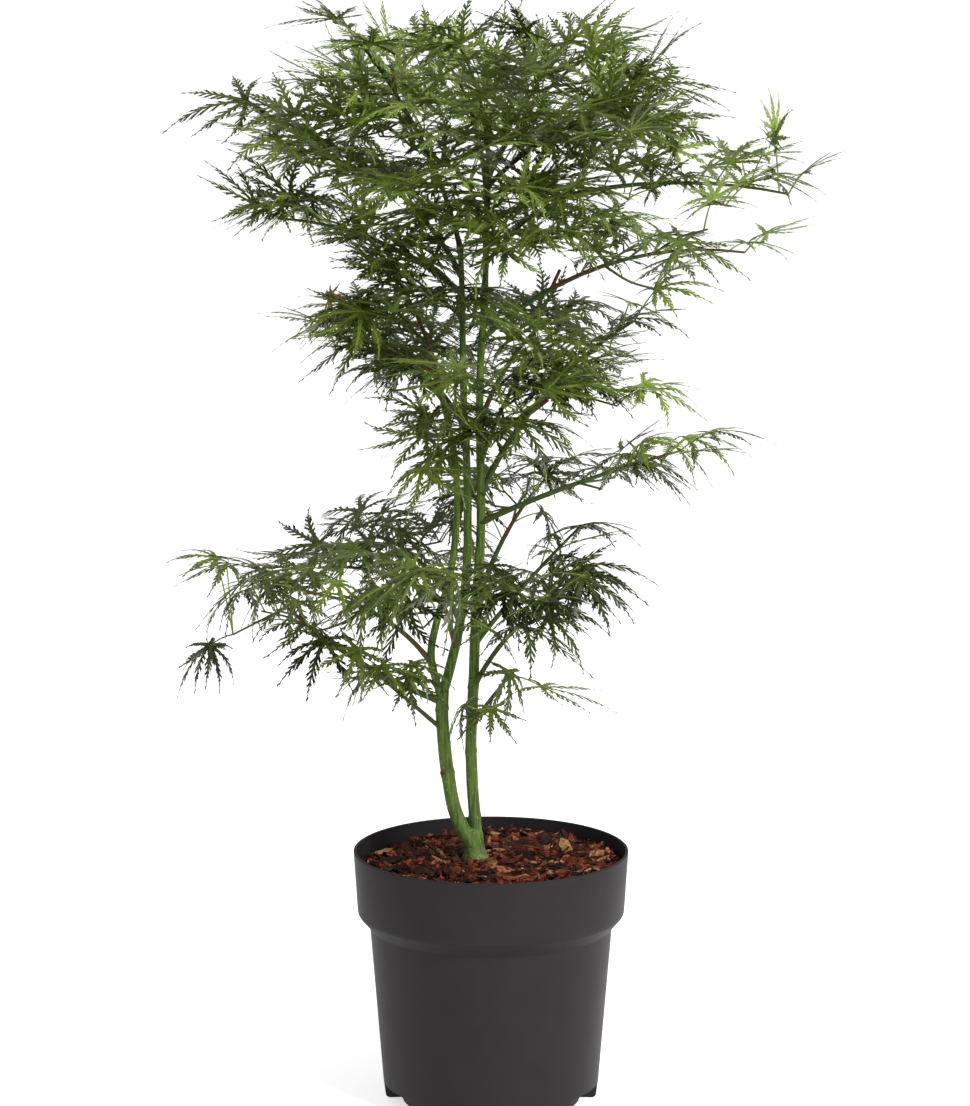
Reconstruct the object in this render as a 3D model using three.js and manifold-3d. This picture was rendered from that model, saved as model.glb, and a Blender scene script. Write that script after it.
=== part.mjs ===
// A laceleaf Japanese maple standing in a round plastic nursery pot.
// Millimetres, +Z up. The origin is the middle of the pot's underside and the viewer stands on the -Y side.
import * as THREE from "three";
import { mergeVertices } from "three/addons/utils/BufferGeometryUtils.js";
import Module from "manifold-3d";

const wasm = await Module();
wasm.setup();
const { Manifold, Mesh: SolidMesh } = wasm;

// ---------------------------------------------------------------- sizes
const SEAT_GAP = 0.3; // clear space between two pieces that rest on each other
const GAP_SLACK = 0.28; // the smallest space a leaf may leave to its neighbours

const POT_HEIGHT = 177;
const RIM_RADIUS = 95; // outer edge of the mouth, a 19 cm container
const COLLAR_FOOT_RADIUS = 92.2; // the deep collar is a little narrower at its foot
const COLLAR_FOOT_HEIGHT = 133;
const BODY_TOP_RADIUS = 83.9; // under the collar the body steps in
const BODY_TOP_HEIGHT = 123.5;
const BODY_FOOT_RADIUS = 73.9;
const UNDERSIDE_RADIUS = 70;
const WALL = 2;
const FLOOR = 9; // floor with its drain channels, up to the potting mix
const POT_FACETS = 50;
const DRAIN_COUNT = 5;
const DRAIN_HEIGHT = 7;
const DRAIN_DEPTH = 14;
const DRAIN_SPAN = 44; // degrees of the rim that each drain notch takes

const MULCH_EDGE_HEIGHT = 168; // bark mulch at the wall
const MULCH_LEFT_SAG = 3.5; // it has sunk on the left
const GROUND = 170.8; // where the trunk leaves the mulch
const CHIP_RELIEF = 1.3;

const TRUNK_FOOT = new THREE.Vector3(-10.4, 0, GROUND);
const TRUNK_TOP = new THREE.Vector3(-13.2, 0.5, 187);
const TRUNK_RADIUS = 6.6;
const TRUNK_FLARE = 2.3; // extra radius of the root flare at the ground
const TRUNK_TOP_HALF_WIDTH = 7.9; // wide enough for both stems
const TRUNK_TOP_HALF_DEPTH = 5.4;

const LEAF_THICKNESS = 1.5; // at the middle of the blade
const LEAF_LENGTH = [45, 60]; // from where the lobes meet to the tip of the middle one
const PETIOLE_LENGTH = [16, 27];
const PETIOLE_RISE = [14, 58]; // degrees: stalks stand up from the twig and carry the blade above it
const PETIOLE_RADIUS = 0.75;
const FOOT_OFFSET = 0.35; // the petiole's foot stands this far from the twig's middle line
const PAIR_SETBACK = 3; // the last pair of a twig stands this far below its tip
const TWIG_RADIUS = 1.1;
const SIDE_TWIG_LENGTH = [30, 46];
const TWIG_CHANCE = 0.5; // how often a shoot near the bough is a twig and not a leaf
const TWIGGY_SHARE = 0.6; // twigs stand on this share of a leafy stem, next to the bough
// How a leaf turns and tips, one try after another, when its first place is taken.
const LEAF_TRIES = [[0, 0], [24, -16], [-24, 14], [40, 30], [-40, -30], [70, 10], [-70, -10]];
const LOW_PITCH = -20; // degrees that a blade climbs low in the crown, and at its top
const HIGH_PITCH = 14;
const PITCH_SPREAD = 30; // degrees that a blade may tip away from its height's own pitch
const ROLL_SPREAD = 34;
const NODE_SPACING = 19; // between two pairs of leaves on a stem

// The lobes of one leaf: the angle from the middle lobe, and the length as a share of it.
const LOBES = [
  { angle: -104, share: 0.56 },
  { angle: -47, share: 0.86 },
  { angle: 0, share: 1 },
  { angle: 47, share: 0.86 },
  { angle: 104, share: 0.56 },
];
const NOTCH_SHARE = 0.38; // how far from the middle the bays between the lobes reach

// Open places between the tiers, as an eye in front of the plant sees them in the plane of the
// stems: across, height, half width and half height of each.
const EYE = new THREE.Vector3(-4, -2600, 840);
const GAPS = [
  [-117, 584, 39, 15], [150, 610, 35, 11], [109, 535, 24, 12], [89, 476, 19, 15],
  [91, 423, 53, 14], [-157, 307, 22, 27], [-191, 337, 27, 13], [-101, 430, 31, 10],
  [-164, 527, 23, 16], [68, 570, 27, 16], [90, 324, 21, 25], [51, 288, 27, 17],
  [-81, 476, 20, 18], [-104, 275, 22, 11],
];
const GAP_SHARE = 0.3; // a leaf with more than this share of itself in the gaps is left out

const DEG = Math.PI / 180;
const OWN_SPACE = 0.6; // a leaf may be this much nearer to a neighbour's limb than to its own
const SEAM_TOLERANCE = 0.06; // crumbs smaller than this at the seams of fused leaves are smoothed
const UP = new THREE.Vector3(0, 0, 1);

// ---------------------------------------------------------------- seeded numbers
// A linear congruential generator: the same seed always grows the same twig.
function seeded(seed) {
  let state = seed;
  const next = () => {
    state = (state * 1664525 + 1013904223) % 4294967296;
    return state / 4294967296;
  };
  return {
    unit: next,
    between: (low, high) => low + (high - low) * next(),
    spread: (half) => half * (2 * next() - 1),
  };
}

// ---------------------------------------------------------------- solids
// A closed three.js geometry as a solid, turned right side out.
function solidFrom(geometry, joinWithin = 1e-4) {
  const bare = geometry.clone();
  bare.deleteAttribute("normal");
  bare.deleteAttribute("uv");
  const joined = mergeVertices(bare, joinWithin);
  const index = new Uint32Array(joined.index.array);
  const positions = joined.attributes.position.array;
  let sixVolumes = 0;
  const corner = (i) => new THREE.Vector3().fromArray(positions, 3 * index[i]);
  for (let i = 0; i < index.length; i += 3) {
    sixVolumes += corner(i).dot(corner(i + 1).cross(corner(i + 2)));
  }
  if (sixVolumes < 0) {
    for (let i = 0; i < index.length; i += 3) {
      [index[i + 1], index[i + 2]] = [index[i + 2], index[i + 1]];
    }
  }
  return new Manifold(new SolidMesh({ numProp: 3, vertProperties: positions, triVerts: index }));
}

// A solid back as three.js geometry with flat faces.
function geometryFrom(solid) {
  const mesh = solid.getMesh();
  const geometry = new THREE.BufferGeometry();
  const positions = new Float32Array(mesh.numVert * 3);
  for (let i = 0; i < mesh.numVert; i += 1) {
    positions.set(mesh.vertProperties.subarray(i * mesh.numProp, i * mesh.numProp + 3), 3 * i);
  }
  geometry.setAttribute("position", new THREE.BufferAttribute(positions, 3));
  geometry.setIndex(new THREE.BufferAttribute(new Uint32Array(mesh.triVerts), 1));
  const flat = geometry.toNonIndexed();
  flat.computeVertexNormals();
  return flat;
}

// Rings of points, each ring joined to the next, closed by a fan at both ends.
function ringSolid(rings) {
  const sides = rings[0].length;
  const points = rings.flat();
  const faces = [];
  for (let r = 0; r + 1 < rings.length; r += 1) {
    for (let s = 0; s < sides; s += 1) {
      const a = r * sides + s;
      const b = r * sides + ((s + 1) % sides);
      faces.push(a, b, a + sides, b, b + sides, a + sides);
    }
  }
  const last = (rings.length - 1) * sides;
  for (let s = 1; s + 1 < sides; s += 1) {
    faces.push(0, s + 1, s, last, last + s, last + s + 1);
  }
  return shellSolid(points, faces);
}

// Points and the corners of their triangles as a solid.
function shellSolid(points, faces) {
  const geometry = new THREE.BufferGeometry().setFromPoints(points);
  geometry.setIndex(faces);
  return solidFrom(geometry);
}

// A round limb that follows a path: one radius for each point of the path.
function limbSolid(path, radii, sides) {
  let side = new THREE.Vector3();
  const rings = path.map((point, i) => {
    const ahead = path[Math.min(i + 1, path.length - 1)];
    const behind = path[Math.max(i - 1, 0)];
    const along = ahead.clone().sub(behind).normalize();
    if (i === 0) {
      side = Math.abs(along.z) > 0.8 ? new THREE.Vector3(1, 0, 0) : UP.clone();
    }
    side = side.clone().addScaledVector(along, -side.dot(along)).normalize();
    const other = along.clone().cross(side);
    return Array.from({ length: sides }, (_, k) => {
      const turn = (2 * Math.PI * k) / sides;
      return point
        .clone()
        .addScaledVector(side, radii[i] * Math.cos(turn))
        .addScaledVector(other, radii[i] * Math.sin(turn));
    });
  });
  return ringSolid(rings);
}

// The largest body of a solid, so that a scrap cut loose by a neighbour falls away.
function mainBody(solid) {
  const bodies = solid.decompose();
  return bodies.reduce((best, body) => (body.volume() > best.volume() ? body : best), bodies[0]);
}

// A fused solid with the crumbs at its seams smoothed and points closer than a micron joined,
// so that it stays one closed body in the part's own precision.
function settled(solid, tolerance) {
  const mesh = geometryFrom(mainBody(solid.simplify(tolerance)));
  return mainBody(solidFrom(mesh, 1e-3));
}

// ---------------------------------------------------------------- pot
// Straight-sided nursery pot: foot, tapering body, stepped collar and thin open mouth.
function makePot() {
  const profile = [
    [0, 0],
    [UNDERSIDE_RADIUS, 0],
    [UNDERSIDE_RADIUS + 2.7, 1],
    [BODY_FOOT_RADIUS, 3.6],
    [BODY_TOP_RADIUS, BODY_TOP_HEIGHT],
    [COLLAR_FOOT_RADIUS - 0.9, COLLAR_FOOT_HEIGHT - 1.9],
    [COLLAR_FOOT_RADIUS, COLLAR_FOOT_HEIGHT + 0.6],
    [RIM_RADIUS, POT_HEIGHT - 1],
    [RIM_RADIUS - 0.6, POT_HEIGHT],
    [RIM_RADIUS - WALL, POT_HEIGHT],
    [COLLAR_FOOT_RADIUS - WALL, COLLAR_FOOT_HEIGHT + 0.6],
    [BODY_TOP_RADIUS - WALL, BODY_TOP_HEIGHT + 0.6],
    [BODY_FOOT_RADIUS - WALL + 0.4, FLOOR],
    [0, FLOOR],
  ].map(([radius, height]) => new THREE.Vector2(radius, height));
  let pot = solidFrom(new THREE.LatheGeometry(profile, POT_FACETS).rotateX(Math.PI / 2));
  for (let k = 0; k < DRAIN_COUNT; k += 1) {
    const middle = -90 + (360 / DRAIN_COUNT) * k;
    pot = pot.subtract(drainNotch(middle));
  }
  return pot;
}

// One drain notch in the bottom corner: a sector cut in from the side and from below.
function drainNotch(middle) {
  const from = (middle - DRAIN_SPAN / 2) * DEG;
  const to = (middle + DRAIN_SPAN / 2) * DEG;
  const sector = new THREE.Shape();
  sector.absarc(0, 0, RIM_RADIUS, from, to, false);
  sector.absarc(0, 0, BODY_FOOT_RADIUS - DRAIN_DEPTH, to, from, true);
  const cutter = new THREE.ExtrudeGeometry(sector, {
    depth: DRAIN_HEIGHT + 1,
    bevelEnabled: false,
    curveSegments: 5,
  });
  return solidFrom(cutter.translate(0, 0, -1));
}

// The potting mix with its bark mulch fills the pot and keeps clear of the wall.
function makeMulch(socket) {
  const random = seeded(19);
  const sectors = 25;
  const wallSide = (height) => {
    const share = (height - FLOOR) / (BODY_TOP_HEIGHT - FLOOR);
    const body = BODY_FOOT_RADIUS + (BODY_TOP_RADIUS - BODY_FOOT_RADIUS) * share;
    return body - WALL - 0.9;
  };
  const collarInside = COLLAR_FOOT_RADIUS - WALL - 0.8;
  const ring = (radius, heightAt) =>
    Array.from({ length: sectors }, (_, k) => {
      const turn = (2 * Math.PI * k) / sectors;
      const x = radius * Math.cos(turn);
      const y = radius * Math.sin(turn);
      return new THREE.Vector3(x, y, heightAt(x, y));
    });
  const mulchTop = (x, y) => {
    const mound = (GROUND - MULCH_EDGE_HEIGHT) * (1 - Math.min(1, Math.hypot(x, y) / 80));
    const sag = MULCH_LEFT_SAG * Math.max(0, -x / 90);
    return MULCH_EDGE_HEIGHT + mound - sag + random.spread(CHIP_RELIEF);
  };
  const rings = [
    ring(wallSide(FLOOR) - 0.4, () => FLOOR + SEAT_GAP),
    ring(wallSide(BODY_TOP_HEIGHT), () => BODY_TOP_HEIGHT),
    ring(collarInside, () => COLLAR_FOOT_HEIGHT + 0.6),
    ring(collarInside + 1.6, mulchTop),
    ring(72, mulchTop),
    ring(52, mulchTop),
    ring(32, mulchTop),
    ring(13, mulchTop),
  ];
  return ringSolid(rings).subtract(socket);
}

// ---------------------------------------------------------------- stems
// Stations give the bends of a stem as [x, y, height]; the curve through them is smooth.
const STEMS = {
  right_stem: {
    stations: [
      [-10.2, 1.5, 187.3],
      [-13.1, 1, 227],
      [-13.8, 1, 253],
      [-12.2, 1, 290],
      [-9.6, 2, 358],
      [-7, 3, 401],
      [-7.6, 3, 501],
      [-4.1, 2, 569],
      [-1.8, 0, 648],
    ],
    radii: [4.3, 1.7],
    rings: 11,
    sides: 8,
  },
  left_stem: {
    stations: [
      [-16.6, -1, 186],
      [-24.6, -2, 204],
      [-30.3, -2, 234],
      [-33.5, -2, 270],
      [-33.1, -2, 289],
    ],
    radii: [4.9, 4.3],
    rings: 6,
    sides: 8,
  },
  left_inner: {
    stations: [
      [-32.6, -1.9, 289.3],
      [-28.1, 0, 305],
      [-22, 2, 332],
      [-16.8, 4, 370],
      [-16.4, 5, 435],
      [-19, 5, 504],
      [-19.6, 4, 560],
      [-20.6, 3, 592],
    ],
    radii: [3.5, 1.8],
    rings: 9,
    sides: 7,
  },
  left_outer: {
    stations: [
      [-34.5, -3.2, 285],
      [-41, -5, 314],
      [-37.6, -6, 336],
      [-28.2, -7, 369],
      [-23, -7, 420],
      [-25.6, -8, 455],
      [-34.6, -9, 501],
    ],
    radii: [2.8, 1.9],
    rings: 9,
    sides: 7,
  },
};

function stemCurve(stations) {
  return new THREE.CatmullRomCurve3(stations.map((s) => new THREE.Vector3(...s)));
}

// The point, direction and radius of a stem at a given height.
function stemAt(stem, height) {
  const curve = stemCurve(stem.stations);
  let low = 0;
  let high = 1;
  for (let i = 0; i < 40; i += 1) {
    const middle = (low + high) / 2;
    if (curve.getPointAt(middle).z < height) low = middle;
    else high = middle;
  }
  return {
    point: curve.getPointAt(low),
    along: curve.getTangentAt(low),
    radius: stem.radii[0] + (stem.radii[1] - stem.radii[0]) * low,
  };
}

// A stem as a solid; swell makes it thicker, which serves as the cutter for what grows on it.
function stemSolid(stem, swell = 0) {
  const curve = stemCurve(stem.stations);
  const shares = Array.from({ length: stem.rings }, (_, i) => i / (stem.rings - 1));
  const path = shares.map((share) => curve.getPointAt(share));
  const radii = shares.map((share) => THREE.MathUtils.lerp(...stem.radii, share) + swell);
  if (swell > 0) {
    const tip = curve.getTangentAt(1);
    path[path.length - 1] = path[path.length - 1].clone().addScaledVector(tip, swell);
  }
  return limbSolid(path, radii, stem.sides);
}

// The short trunk: root flare at the ground, then round, then wide enough to carry both stems.
function trunkSolid(swell = 0) {
  const sides = 16;
  const levels = [0, 0.14, 0.34, 0.62, 1];
  const rings = levels.map((share) => {
    const middle = TRUNK_FOOT.clone().lerp(TRUNK_TOP, share);
    if (swell > 0 && share === 0) middle.z -= swell;
    const flare = TRUNK_FLARE * (1 - share) ** 4;
    const width = THREE.MathUtils.lerp(TRUNK_RADIUS, TRUNK_TOP_HALF_WIDTH, share ** 1.5);
    const depth = THREE.MathUtils.lerp(TRUNK_RADIUS, TRUNK_TOP_HALF_DEPTH, share);
    return Array.from({ length: sides }, (_, k) => {
      const turn = (2 * Math.PI * k) / sides;
      const buttress = flare * (1 + 0.35 * Math.cos(4 * turn + 0.6)) + swell;
      return new THREE.Vector3(
        middle.x + (width + buttress) * Math.cos(turn),
        middle.y + (depth + buttress) * Math.sin(turn),
        middle.z,
      );
    });
  });
  return ringSolid(rings);
}

// ---------------------------------------------------------------- limbs
// Every limb leaves its stem at a height, heads out in plan (0 is right, 90 is away from the
// viewer, 180 is left) while turning by sweep degrees, and climbs at an angle that changes from
// rise[0] to rise[1]. Its first share, bare, is the bough; the rest is the stem of its leaves,
// which may begin with a clear share of its own. leaf makes the leaves of a limb smaller.
const LIMBS = [
  { name: "low_left_long", stem: "left_stem", height: 281, heading: 190, sweep: -16,
    rise: [22, 46], length: 147, bare: 0.5, radius: 2.3, seed: 597 },
  { name: "low_left_front", stem: "left_stem", height: 262, heading: 210, sweep: 33,
    rise: [42, 32], length: 84, bare: 0, clear: 0.42, radius: 1.7, seed: 212, leaf: 0.76 },
  { name: "low_left_mid", stem: "left_outer", height: 309, heading: 216, sweep: -6,
    rise: [52, 10], length: 118, bare: 0.34, radius: 1.9, seed: 206 },
  { name: "low_left_high", stem: "left_outer", height: 352, heading: 156, sweep: 10,
    rise: [32, -8], length: 94, bare: 0.3, radius: 1.8, seed: 624 },
  { name: "low_right_small", stem: "right_stem", height: 262, heading: 322, sweep: -2,
    rise: [56, 44], length: 54, bare: 0, clear: 0.42, radius: 1.7, seed: 550, leaf: 0.72 },
  { name: "low_right_mid", stem: "right_stem", height: 290, heading: 332, sweep: -18,
    rise: [64, 20], length: 116, bare: 0.4, radius: 1.9, seed: 862 },
  { name: "low_right_high", stem: "right_stem", height: 322, heading: 28, sweep: -1,
    rise: [46, 39], length: 112, bare: 0.4, radius: 1.9, seed: 618 },
  { name: "low_back_left", stem: "left_inner", height: 336, heading: 114, sweep: 11,
    rise: [38, -1], length: 133, bare: 0.34, radius: 2, seed: 823 },
  { name: "low_back_right", stem: "right_stem", height: 348, heading: 68, sweep: -10,
    rise: [46, 20], length: 140, bare: 0.34, radius: 2, seed: 504 },
  { name: "low_front", stem: "left_inner", height: 318, heading: 262, sweep: -2,
    rise: [50, 7], length: 125, bare: 0.3, radius: 1.8, seed: 296 },
  { name: "mid_right_long", stem: "right_stem", height: 405, heading: 346, sweep: 9,
    rise: [26, 16], length: 146, bare: 0.42, radius: 2.2, seed: 456, leaf: 0.86 },
  { name: "mid_right_rise", stem: "right_stem", height: 425, heading: 10, sweep: -15,
    rise: [66, 31], length: 160, bare: 0.42, radius: 2.3, seed: 810 },
  { name: "mid_right_high", stem: "right_stem", height: 530, heading: 4, sweep: 0,
    rise: [44, -8], length: 194, bare: 0.36, radius: 2, seed: 171, leaf: 0.9 },
  { name: "mid_front", stem: "right_stem", height: 446, heading: 294, sweep: -8,
    rise: [54, 25], length: 134, bare: 0.22, radius: 1.8, seed: 200 },
  { name: "mid_front_left", stem: "left_outer", height: 444, heading: 236, sweep: 5,
    rise: [44, 19], length: 68, bare: 0, radius: 1.6, seed: 29 },
  { name: "mid_left_long", stem: "left_outer", height: 492, heading: 184, sweep: 1,
    rise: [46, 38], length: 81, bare: 0.24, radius: 1.8, seed: 792 },
  { name: "mid_back_left", stem: "left_inner", height: 468, heading: 122, sweep: 19,
    rise: [44, 1], length: 138, bare: 0.26, radius: 1.9, seed: 586 },
  { name: "mid_back_right", stem: "right_stem", height: 474, heading: 64, sweep: -6,
    rise: [48, 6], length: 148, bare: 0.26, radius: 1.9, seed: 449 },
  { name: "left_outer_tip", stem: "left_outer", height: 501, heading: 165, sweep: 19,
    rise: [78, 56], length: 86, bare: 0, radius: 1.8, seed: 305 },
  { name: "top_left_long", stem: "left_inner", height: 562, heading: 188, sweep: -25,
    rise: [42, 1], length: 138, bare: 0.28, radius: 2, seed: 556 },
  { name: "top_left_rise", stem: "left_inner", height: 574, heading: 158, sweep: 18,
    rise: [60, 16], length: 172, bare: 0.26, radius: 1.9, seed: 767 },
  { name: "top_left_high", stem: "left_inner", height: 592, heading: 204, sweep: 12,
    rise: [76, 46], length: 162, bare: 0.22, radius: 1.8, seed: 818 },
  { name: "top_right_long", stem: "right_stem", height: 612, heading: 356, sweep: -8,
    rise: [22, -11], length: 206, bare: 0.34, radius: 2, seed: 367, leaf: 0.8 },
  { name: "top_right_front", stem: "right_stem", height: 634, heading: 318, sweep: 5,
    rise: [40, 10], length: 142, bare: 0.26, radius: 1.7, seed: 887 },
  { name: "top_right_high", stem: "right_stem", height: 640, heading: 46, sweep: 1,
    rise: [54, 21], length: 131, bare: 0.2, radius: 1.7, seed: 259 },
  { name: "top_front", stem: "right_stem", height: 594, heading: 256, sweep: 16,
    rise: [50, -6], length: 135, bare: 0.22, radius: 1.7, seed: 27 },
  { name: "top_back", stem: "right_stem", height: 618, heading: 94, sweep: 19,
    rise: [50, 19], length: 180, bare: 0.26, radius: 1.8, seed: 159 },
  { name: "inner_left", stem: "left_inner", height: 546, heading: 204, sweep: 20,
    rise: [44, 13], length: 60, bare: 0, radius: 1.6, seed: 39 },
  { name: "inner_front", stem: "right_stem", height: 582, heading: 304, sweep: -13,
    rise: [40, 12], length: 114, bare: 0, radius: 1.6, seed: 849 },
  { name: "leader_tip", stem: "right_stem", height: 648, heading: 250, sweep: -44,
    rise: [84, 60], length: 83, bare: 0, radius: 1.6, seed: 316 },
];
const LIMB_STEPS = 12;
const LEAFY_PIECES = 5;

// The unit vector that heads out in plan at one angle and climbs at another.
function direction(heading, rise) {
  return new THREE.Vector3(
    Math.cos(heading * DEG) * Math.cos(rise * DEG),
    Math.sin(heading * DEG) * Math.cos(rise * DEG),
    Math.sin(rise * DEG),
  );
}

// The middle line of a limb from the middle of its stem to its tip.
function limbPath(limb) {
  const root = stemAt(STEMS[limb.stem], limb.height);
  const path = [root.point.clone()];
  for (let i = 0; i < LIMB_STEPS; i += 1) {
    const share = (i + 0.5) / LIMB_STEPS;
    const step = direction(
      limb.heading + limb.sweep * share,
      THREE.MathUtils.lerp(...limb.rise, share),
    );
    path.push(path[i].clone().addScaledVector(step, limb.length / LIMB_STEPS));
  }
  return path;
}

// The point and the direction at a share of the way along a path of equal steps.
function alongPath(path, share) {
  const place = Math.min(share, 0.99999) * (path.length - 1);
  const i = Math.floor(place);
  const step = path[i + 1].clone().sub(path[i]);
  return { point: path[i].clone().addScaledVector(step, place - i), along: step.normalize() };
}

// A part of a path between two shares, with a point at each whole step between them.
function pathBetween(path, from, to, pieces) {
  return Array.from({ length: pieces + 1 }, (_, i) =>
    alongPath(path, from + ((to - from) * i) / pieces).point,
  );
}

// ---------------------------------------------------------------- leaves
// One leaf as a single solid: a three-sided petiole that opens into a flat blade with pointed
// lobes. The blade is thickest where the lobes meet and its lobes droop towards their tips.
function leafSolid(root, hub, forward, up, length, droop) {
  const side = forward.clone().cross(up).normalize();
  const spot = (angle, reach) => {
    const sink = droop * (reach / length) ** 2 * length;
    return hub
      .clone()
      .addScaledVector(forward, reach * Math.cos(angle * DEG))
      .addScaledVector(side, reach * Math.sin(angle * DEG))
      .addScaledVector(up, -sink);
  };
  const rim = [spot(-166, 5.2)];
  LOBES.forEach((lobe, i) => {
    rim.push(spot(lobe.angle, lobe.share * length));
    if (i + 1 < LOBES.length) {
      rim.push(spot((lobe.angle + LOBES[i + 1].angle) / 2, NOTCH_SHARE * length));
    }
  });
  rim.push(spot(166, 5.2));
  const along = hub.clone().sub(root).normalize();
  const petioleSide = along.clone().cross(up).normalize();
  const under = petioleSide.clone().cross(along).normalize().negate();
  const foot = [
    root.clone().addScaledVector(petioleSide, -PETIOLE_RADIUS),
    root.clone().addScaledVector(petioleSide, PETIOLE_RADIUS),
    root.clone().addScaledVector(under, 1.4 * PETIOLE_RADIUS),
  ];
  const top = hub.clone().addScaledVector(up, LEAF_THICKNESS / 2);
  const bottom = hub.clone().addScaledVector(up, -LEAF_THICKNESS / 2);
  const points = [...rim, ...foot, top, bottom];
  const last = rim.length - 1;
  const [left, right, below, crown, belly] = [last + 1, last + 2, last + 3, last + 4, last + 5];
  const faces = [crown, last, 0];
  for (let i = 0; i < last; i += 1) faces.push(crown, i, i + 1, belly, i + 1, i);
  faces.push(left, 0, last, left, last, right);
  faces.push(left, below, belly, left, belly, 0);
  faces.push(right, last, belly, right, belly, below);
  faces.push(left, right, below);
  return shellSolid(points, faces);
}

// How leaves hang at a height: low ones droop, those at the top of the crown stand up.
function leafPitch(height) {
  const share = THREE.MathUtils.clamp((height - 300) / 400, 0, 1);
  return THREE.MathUtils.lerp(LOW_PITCH, HIGH_PITCH, share);
}

// How much of a leaf lies in the crown's gaps: the share of some points on its lobes that the
// eye sees inside one of them.
function shareInGaps(hub, forward, up, length) {
  const side = forward.clone().cross(up).normalize();
  let inside = 0;
  for (const lobe of LOBES) {
    for (const part of [0.5, 0.9]) {
      const reach = part * lobe.share * length;
      const spot = hub
        .clone()
        .addScaledVector(forward, reach * Math.cos(lobe.angle * DEG))
        .addScaledVector(side, reach * Math.sin(lobe.angle * DEG));
      const seen = EYE.clone().lerp(spot, EYE.y / (EYE.y - spot.y));
      const isInside = ([x, z, halfWidth, halfHeight]) =>
        ((seen.x - x) / halfWidth) ** 2 + ((seen.z - z) / halfHeight) ** 2 < 1;
      if (GAPS.some(isInside)) inside += 1;
    }
  }
  return inside / (2 * LOBES.length);
}

// The share of a limb where its leafy stem begins, clear of the bough's tip.
function leafyFrom(limb) {
  return limb.bare > 0 ? limb.bare + SEAT_GAP / limb.length : 0;
}

// The three-sided stem that carries the leaves, from the bough's tip to the limb's end.
function leafyStem(limb, path) {
  const stemRadius = limb.radius * (1 - 0.5 * limb.bare);
  const stemPath = pathBetween(path, leafyFrom(limb), 1, LEAFY_PIECES);
  const radii = stemPath.map((_, i) =>
    THREE.MathUtils.lerp(stemRadius, 0.9, i / LEAFY_PIECES),
  );
  return limbSolid(stemPath, radii, 3);
}

// The stem and leaves of one limb. Pairs of shoots stand along the stem, each pair turned a
// quarter from the last; a shoot is a leaf, or near the bough a twig with three leaves. The stem
// ends in a pair and a last leaf. A shoot that would touch a neighbour is turned, then left out.
function growMass(limb, path, isFree) {
  const random = seeded(limb.seed);
  const from = leafyFrom(limb);
  const leafFrom = THREE.MathUtils.lerp(from, 1, limb.clear ?? 0);
  const pairs = Math.max(2, Math.round((limb.length * (1 - leafFrom)) / NODE_SPACING));
  const pieces = [leafyStem(limb, path)];
  let leaves = 0;

  const addLeaf = (node, heading, lift) => {
    const petiole = random.between(...PETIOLE_LENGTH);
    const climb = random.between(...PETIOLE_RISE);
    const length = random.between(...LEAF_LENGTH) * (limb.leaf ?? 1);
    const turn = random.spread(14);
    const pitch = leafPitch(node.z) + random.spread(PITCH_SPREAD) + 0.35 * lift;
    const roll = random.spread(ROLL_SPREAD);
    for (const [extraTurn, extraPitch] of LEAF_TRIES) {
      const aim = heading + turn + extraTurn;
      const petioleWay = direction(aim, climb + 0.3 * lift);
      const forward = direction(aim, pitch + extraPitch);
      const level = forward.clone().cross(UP).normalize();
      const up = level.clone().cross(forward).normalize().applyAxisAngle(forward, roll * DEG);
      const hub = node.clone().addScaledVector(petioleWay, petiole);
      if (extraTurn === 0 && shareInGaps(hub, forward, up, length) > GAP_SHARE) return;
      const foot = node.clone().addScaledVector(petioleWay, FOOT_OFFSET);
      const leaf = leafSolid(foot, hub, forward, up, length, 0.2);
      if (!isFree(leaf, limb.name, hub)) continue;
      const clearPart = leafSolid(node.clone().lerp(hub, 0.4), hub, forward, up, length, 0.2);
      if (touches(clearPart, pieces)) continue;
      pieces.push(leaf);
      leaves += 1;
      return;
    }
  };

  const addTwig = (node, heading, rise) => {
    const length = random.between(...SIDE_TWIG_LENGTH);
    const bend = random.spread(16);
    const middle = node.clone().addScaledVector(direction(heading, rise), length / 2);
    const tip = middle.clone().addScaledVector(direction(heading + bend, rise / 2), length / 2);
    const twig = limbSolid([node, middle, tip], [TWIG_RADIUS, 0.95, 0.8], 3);
    const clearPart = limbSolid([node.clone().lerp(middle, 0.5), middle, tip], [1, 1, 1], 3);
    if (!isFree(twig, limb.name, tip) || touches(clearPart, pieces)) {
      addLeaf(node, heading, rise);
      return;
    }
    pieces.push(twig);
    const pairPlace = tip.clone().lerp(middle, PAIR_SETBACK / (length / 2));
    addLeaf(tip, heading + bend, 0);
    addLeaf(pairPlace, heading + bend + 62, 0);
    addLeaf(pairPlace, heading + bend - 62, 0);
  };

  for (let k = 0; k < pairs; k += 1) {
    const share = THREE.MathUtils.lerp(leafFrom, 1, (k + 0.6) / (pairs + 0.2));
    const { point, along } = alongPath(path, share);
    const heading = Math.atan2(along.y, along.x) / DEG;
    const flat = k % 2 === 0;
    for (const hand of [-1, 1]) {
      const splay = flat ? hand * random.between(48, 68) : hand * random.between(14, 30);
      const lift = flat ? random.spread(10) : hand * 34;
      const branches = k < TWIGGY_SHARE * pairs && random.unit() < TWIG_CHANCE;
      if (branches) addTwig(point, heading + splay, flat ? random.spread(14) : hand * 30);
      else addLeaf(point, heading + splay, lift);
    }
  }
  const end = alongPath(path, 1);
  const endHeading = Math.atan2(end.along.y, end.along.x) / DEG;
  addLeaf(path.at(-1), endHeading, 0);
  return { pieces, leaves };
}

// ---------------------------------------------------------------- assembly
const group = new THREE.Group();
group.name = "potted_laceleaf_maple";
const placed = new Map(); // name of each woody or leafy piece and its solid

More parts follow.
